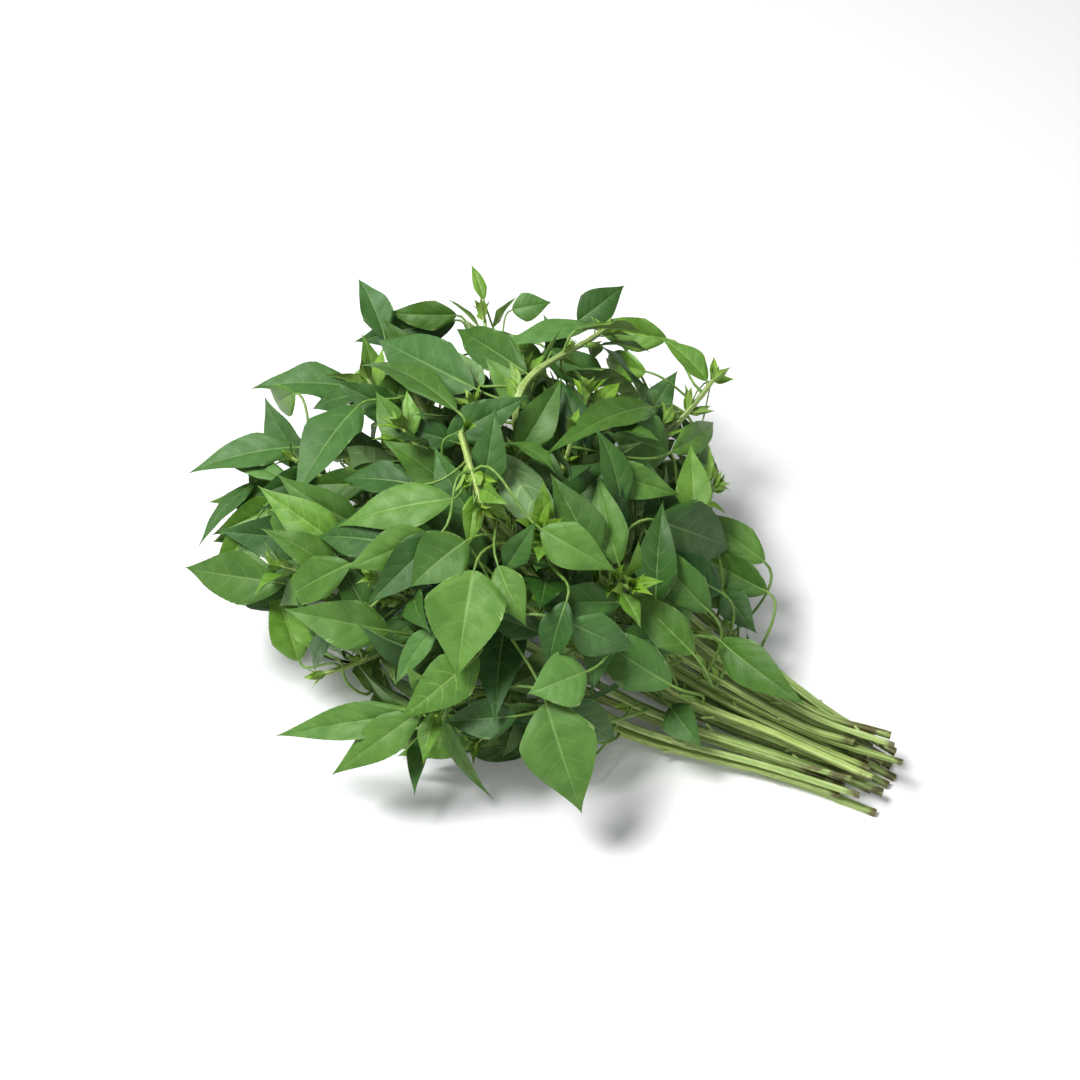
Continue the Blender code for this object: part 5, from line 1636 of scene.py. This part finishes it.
def add_stem(skin, stem, rng):
    """A four-angled grooved stem, swollen at its joints and flat at its cut end."""
    marks = np.array(stem_marks(stem, rng))
    count = int(stem.path.length / STEM_RING_STEP)
    distances = np.linspace(0.0, stem.path.length, count)
    section = stem_section()
    sides = len(section)
    shades = {"tone": rng.uniform(*STEM_TONES), "warmth": rng.uniform(*STEM_WARMTHS)}
    skew = rng.uniform(-CUT_SKEW, CUT_SKEW)
    rings = []
    swells = []
    for distance in distances:
        place, heading, side, top = (np.array(p) for p in stem.frame(distance))
        near = np.min(np.abs(marks - distance)) if len(marks) else math.inf
        swell = math.exp(-(near / SWELLING_RUN) ** 2)
        half = stem.half(distance) * (1.0 + SWELLING * swell) * rng.uniform(*UNEVENNESS)
        rings.append(place + half * (section[:, :1] * side + section[:, 1:] * top))
        swells.append(swell)
    heading = np.array(stem.frame(0.0)[1])
    rings[0] = rings[0] + heading * (section[:, :1] * skew) + heading * (skew * 0.5)
    brown = rng.uniform(*(DRIED_RUNS if rng.random() < DRIED_SHARE else CUT_BROWN_RUNS))
    cut = np.clip(1.0 - distances / brown, 0.0, 1.0)
    ridges = np.tile(RIDGES, 4 * count)
    first = skin.add(np.concatenate(rings), **shades, vein=np.repeat(cut, sides), across=ridges,
                     joint=np.repeat(swells, sides))
    numbers = first + np.arange(count * sides).reshape(count, sides)
    skin.cover(tube_quads(numbers), 0)

    # The cut end: a lip, then a face that is a little hollow
    middle = rings[0].mean(axis=0)
    inset = middle + (rings[0] - middle) * LIP_SHARE + heading * LIP_DEPTH
    hollow = middle + heading * HOLLOW_DEPTH
    tip = stem.path.points[-1] + stem.path.frames[-1][0] * BUD_LENGTH * BUD_SHARE
    second = skin.add(inset, **shades, vein=1.0, across=0.0, joint=0.0)
    end = skin.add([hollow], **shades, vein=1.0, across=0.0, joint=0.0)
    bud = skin.add([tuple(tip)], **shades, vein=0.0, across=0.0, joint=0.0)
    rim = numbers[0]
    inner = second + np.arange(sides)
    lip = np.stack((np.roll(rim, -1), rim, inner, np.roll(inner, -1)), axis=-1)
    face = np.stack((np.roll(inner, -1), inner, np.full(sides, end)), axis=-1)
    skin.cover(lip.tolist() + face.tolist(), 1)
    skin.cover(cone(numbers[-1], bud), 0)
    leafy = {joint["at"] for joint in stem.joints}
    for mark in marks:
        if mark not in leafy and rng.random() < STUB_SHARE:
            add_stub(skin, stem, mark, rng)


class Shader:
    """Short ways to lay out a material's nodes."""

    def __init__(self, name):
        self.material = bpy.data.materials.new(name)
        self.material.use_nodes = True
        self.nodes = self.material.node_tree.nodes
        self.links = self.material.node_tree.links
        self.surface = self.nodes["Principled BSDF"]
        self.place = self.nodes.new("ShaderNodeTexCoord").outputs["Object"]

    def put(self, socket, value):
        """Links a socket, or sets a plain value on it."""
        if isinstance(value, bpy.types.NodeSocket):
            self.links.new(value, socket)
        else:
            socket.default_value = value

    def value(self, name):
        """A value that each point of the mesh carries."""
        node = self.nodes.new("ShaderNodeAttribute")
        node.attribute_name = name
        return node.outputs["Fac"]

    def math(self, operation, a, b=0.0, c=0.0):
        node = self.nodes.new("ShaderNodeMath")
        node.operation = operation
        for socket, value in zip(node.inputs, (a, b, c)):
            self.put(socket, value)
        return node.outputs[0]

    def step(self, value, low, high, to_low=0.0, to_high=1.0):
        """A smooth change from to_low to to_high while value goes from low to high."""
        node = self.nodes.new("ShaderNodeMapRange")
        node.interpolation_type = "SMOOTHSTEP"
        for socket, number in zip(node.inputs, (value, low, high, to_low, to_high)):
            self.put(socket, number)
        return node.outputs["Result"]

    def patches(self, scale, detail, low, high, stretch=None):
        """Soft-edged patches of noise, 0 to 1."""
        node = self.nodes.new("ShaderNodeTexNoise")
        node.inputs["Scale"].default_value = scale
        node.inputs["Detail"].default_value = detail
        place = self.place
        if stretch is not None:
            mapping = self.nodes.new("ShaderNodeMapping")
            mapping.inputs["Scale"].default_value = stretch
            self.links.new(place, mapping.inputs["Vector"])
            place = mapping.outputs["Vector"]
        self.links.new(place, node.inputs["Vector"])
        return self.step(node.outputs["Fac"], low, high)

    def cells(self, scale, high):
        """Small cells, 0 at their walls and 1 inside."""
        node = self.nodes.new("ShaderNodeTexVoronoi")
        node.feature = "DISTANCE_TO_EDGE"
        node.inputs["Scale"].default_value = scale
        self.links.new(self.place, node.inputs["Vector"])
        return self.step(node.outputs["Distance"], 0.0, high)

    def mix(self, share, a, b, blend="MIX"):
        """a, mixed with b by share. Either is a socket, or the name of a colour."""
        node = self.nodes.new("ShaderNodeMix")
        node.data_type = "RGBA"
        node.blend_type = blend
        self.put(node.inputs["Factor"], share)
        for socket, value in zip((node.inputs[6], node.inputs[7]), (a, b)):
            self.put(socket, colour(value) if isinstance(value, str) else value)
        return node.outputs[2]

    def tint(self, share, base, tint):
        """base, multiplied by a colour where share is 1."""
        return self.mix(share, base, self.mix(1.0, base, tint, "MULTIPLY"))

    def times(self, a, b):
        return self.math("MULTIPLY", a, b)

    def bump(self, height, strength):
        node = self.nodes.new("ShaderNodeBump")
        node.inputs["Strength"].default_value = strength
        node.inputs["Distance"].default_value = BUMP_DEPTH
        self.links.new(height, node.inputs["Height"])
        self.links.new(node.outputs["Normal"], self.surface.inputs["Normal"])

    def finish(self, base, rough, shine):
        """The material, with its colour, its roughness and its specular level."""
        self.put(self.surface.inputs["Base Color"], base)
        self.put(self.surface.inputs["Roughness"], rough)
        self.put(self.surface.inputs["Specular IOR Level"], shine)
        return self.material


def colour(name):
    """A linear colour from its display values."""
    def linear(value):
        value /= 255.0
        return value / 12.92 if value <= 0.04045 else ((value + 0.055) / 1.055) ** 2.4
    return (*(linear(value) for value in COLOURS[name]), 1.0)


def leaf_colours(shader, kind):
    """From dark to light by a leaf's tone, and towards yellow by its warmth."""
    tone = shader.value("tone")
    cool = shader.mix(tone, f"{kind} dark", f"{kind} light")
    warm = shader.mix(tone, f"{kind} warm dark", f"{kind} warm light")
    return shader.mix(shader.value("warmth"), cool, warm)


def vein_mask(shader, width, side_strength, rib_strength):
    """The strengths given on the side veins and on the midrib, 0 between them."""
    phase = shader.math("FRACT", shader.value("vein"))
    away = shader.math("ABSOLUTE", shader.math("SUBTRACT", phase, 0.5))
    across = shader.value("across")
    side = shader.step(away, 0.5 - width, 0.5)
    side = shader.times(side, shader.step(across, 0.45, 0.95, side_strength, 0.0))
    rib = shader.step(across, 0.015, 0.06, rib_strength, 0.0)
    return shader.math("MAXIMUM", side, rib)


def make_leaf_top():
    """Satin upper side: deep green with paler veins and a faint mottling."""
    shader = Shader("leaf_top")
    base = leaf_colours(shader, "top")
    mottle = shader.patches(140.0, 4.0, 0.3, 0.7)
    base = shader.tint(mottle, base, "top mottle")
    cells = shader.cells(1500.0, 0.22)
    base = shader.mix(shader.times(cells, 0.22), base, "top cells")
    veins = vein_mask(shader, 0.075, 0.12, 0.3)
    base = shader.mix(veins, base, "top veins")
    shader.bump(shader.math("MULTIPLY_ADD", cells, 0.6, shader.times(veins, -1.6)), 0.35)
    return shader.finish(base, shader.step(mottle, 0.0, 1.0, 0.44, 0.56), 0.32)


def make_leaf_under():
    """Matt, paler underside with raised light veins."""
    shader = Shader("leaf_underside")
    base = leaf_colours(shader, "under")
    base = shader.tint(shader.patches(170.0, 4.0, 0.3, 0.7), base, "under mottle")
    veins = vein_mask(shader, 0.1, 0.4, 0.5)
    base = shader.mix(veins, base, "under veins")
    cells = shader.cells(1300.0, 0.25)
    shader.bump(shader.math("SUBTRACT", veins, shader.times(cells, 0.4)), 0.4)
    return shader.finish(base, 0.68, 0.3)


def make_young(name, light):
    """Soft yellow-green of leaves that have just opened."""
    shader = Shader(name)
    base = leaf_colours(shader, "young")
    if light:
        base = shader.mix(0.3, base, "young underside")
    base = shader.tint(shader.patches(220.0, 3.0, 0.3, 0.7), base, "young mottle")
    base = shader.mix(vein_mask(shader, 0.09, 0.2, 0.35), base, "young veins")
    return shader.finish(base, 0.5, 0.4)


def make_stalk():
    """Pale green of leaf stalks, which fades into the underside along the midrib."""
    shader = Shader("leaf_stalk")
    along = shader.step(shader.value("vein"), 0.0, 0.9, 0.0, 0.7)
    base = shader.mix(shader.patches(420.0, 3.0, 0.3, 0.7), "stalk dark", "stalk light")
    return shader.finish(shader.mix(along, base, "stalk midrib"), 0.5, 0.4)


def make_stem():
    """Pale green stem with lighter ridges, fine streaks, darker joints and a brown cut end."""
    shader = Shader("stem_skin")
    pale = shader.mix(shader.value("warmth"), "stem light", "stem warm light")
    deep = shader.mix(shader.value("warmth"), "stem dark", "stem warm dark")
    base = shader.mix(shader.value("tone"), deep, pale)
    ridge = shader.step(shader.value("across"), 0.1, 0.9)
    base = shader.mix(shader.times(ridge, 0.45), base, "stem ridge")
    streak = shader.patches(60.0, 4.0, 0.35, 0.68, (1.0, 14.0, 14.0))
    base = shader.tint(streak, base, "stem streak")
    base = shader.mix(shader.times(shader.value("joint"), 0.25), base, "stem joint")
    blotch = shader.patches(150.0, 4.0, 0.32, 0.52)
    cut = shader.times(shader.step(shader.value("vein"), 0.0, 0.7), blotch)
    base = shader.mix(shader.times(cut, 0.85), base, "stem brown")
    shader.bump(shader.times(streak, 0.6), 0.3)
    return shader.finish(base, 0.46, 0.45)


def make_cut():
    """Dried face of a cut stem, with a paler pith."""
    shader = Shader("stem_cut")
    base = shader.mix(shader.patches(700.0, 3.0, 0.35, 0.65), "cut dark", "cut light")
    return shader.finish(base, 0.8, 0.2)


def make_floor():
    bpy.ops.mesh.primitive_plane_add(size=FLOOR_SIZE, location=(0.0, 0.0, 0.0))
    floor = bpy.context.object
    floor.name = "floor"
    floor.data.materials.append(Shader("pale_floor").finish(FLOOR_COLOUR, 0.75, 0.2))


def make_studio():
    """A bright even room with one large soft lamp above and a weaker one beside it."""
    scene = bpy.context.scene
    scene.world = bpy.data.worlds.new("studio")
    scene.world.use_nodes = True
    sky = scene.world.node_tree.nodes["Background"]
    sky.inputs["Color"].default_value = SKY_COLOUR
    sky.inputs["Strength"].default_value = SKY_STRENGTH
    for name, place, size, power in LAMPS:
        data = bpy.data.lights.new(name, "AREA")
        data.shape = "DISK"
        data.size = size
        data.energy = power
        lamp = linked(bpy.data.objects.new(name, data))
        lamp.location = place
        lamp.rotation_mode = "QUATERNION"
        lamp.rotation_quaternion = (LAMP_AIM - Vector(place)).to_track_quat("-Z", "Y")
    scene.view_settings.view_transform = "Standard"
    scene.view_settings.look = "None"


def make_camera(centre):
    """The photograph's view of the bunch."""
    data = bpy.data.cameras.new("photo_view")
    data.sensor_width = SENSOR_WIDTH
    data.lens = data.sensor_width * FOCAL_OVER_SENSOR
    data.clip_start = 0.01
    camera = linked(bpy.data.objects.new("photo_view", data))
    turn = Matrix((VIEW_RIGHT, VIEW_UP, VIEW_BACK)).transposed().to_4x4()
    camera.matrix_world = Matrix.Translation((VIEW_EYE - centre) * METRE) @ turn
    bpy.context.scene.camera = camera


def dress(stem, node, centre, materials):
    """The fine pieces of one sprig: its leaves, its young leaves and its stem."""
    rng = random.Random(SEED * 1000 + stem.number)
    leaves, young, stalk = Skin(), Skin(), Skin()
    for joint in sorted(stem.joints, key=lambda j: j["at"]):
        for k, leaf in sorted(joint["faces"].items()):
            blade = leaf["blade"]
            below = stem.path.length - joint["at"]
            fresh = blade["name"] in SEEN_TONES["fresh"] or (
                not blade["name"] and below < YOUNG_BELOW)
            add_leaf(young if fresh else leaves, stem, joint["at"], k, blade, rng, fresh)
            if below > YOUNG_BELOW and rng.random() < AXIL_SHARE:
                add_axil(young, stem, joint["at"], k, rng)
    add_tip(young, stem, rng)
    add_stem(stalk, stem, rng)
    plans = (
        (leaves, "leaves", "leaf", materials["leaf"]),
        (young, "young", "young_leaf", materials["young"]),
        (stalk, "stem", "stem", materials["stem"]),
    )
    for skin, part, slot, finishes in plans:
        if not skin.faces:
            continue
        piece = skin.build(f"{node}_{part}", centre, finishes)
        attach(piece, "root")
        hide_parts(node)


def main():
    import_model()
    stems = grow_bunch()
    centre = footprint_centre([sprig_mesh(stem) for stem in stems])
    stalk = make_stalk()
    materials = {
        "leaf": (make_leaf_top(), make_leaf_under(), stalk),
        "young": (make_young("young_top", False), make_young("young_underside", True), stalk),
        "stem": (make_stem(), make_cut()),
    }
    for number, stem in enumerate(stems):
        dress(stem, f"sprig_{number + 1:02d}", centre, materials)
    make_floor()
    make_studio()
    make_camera(centre)


main()
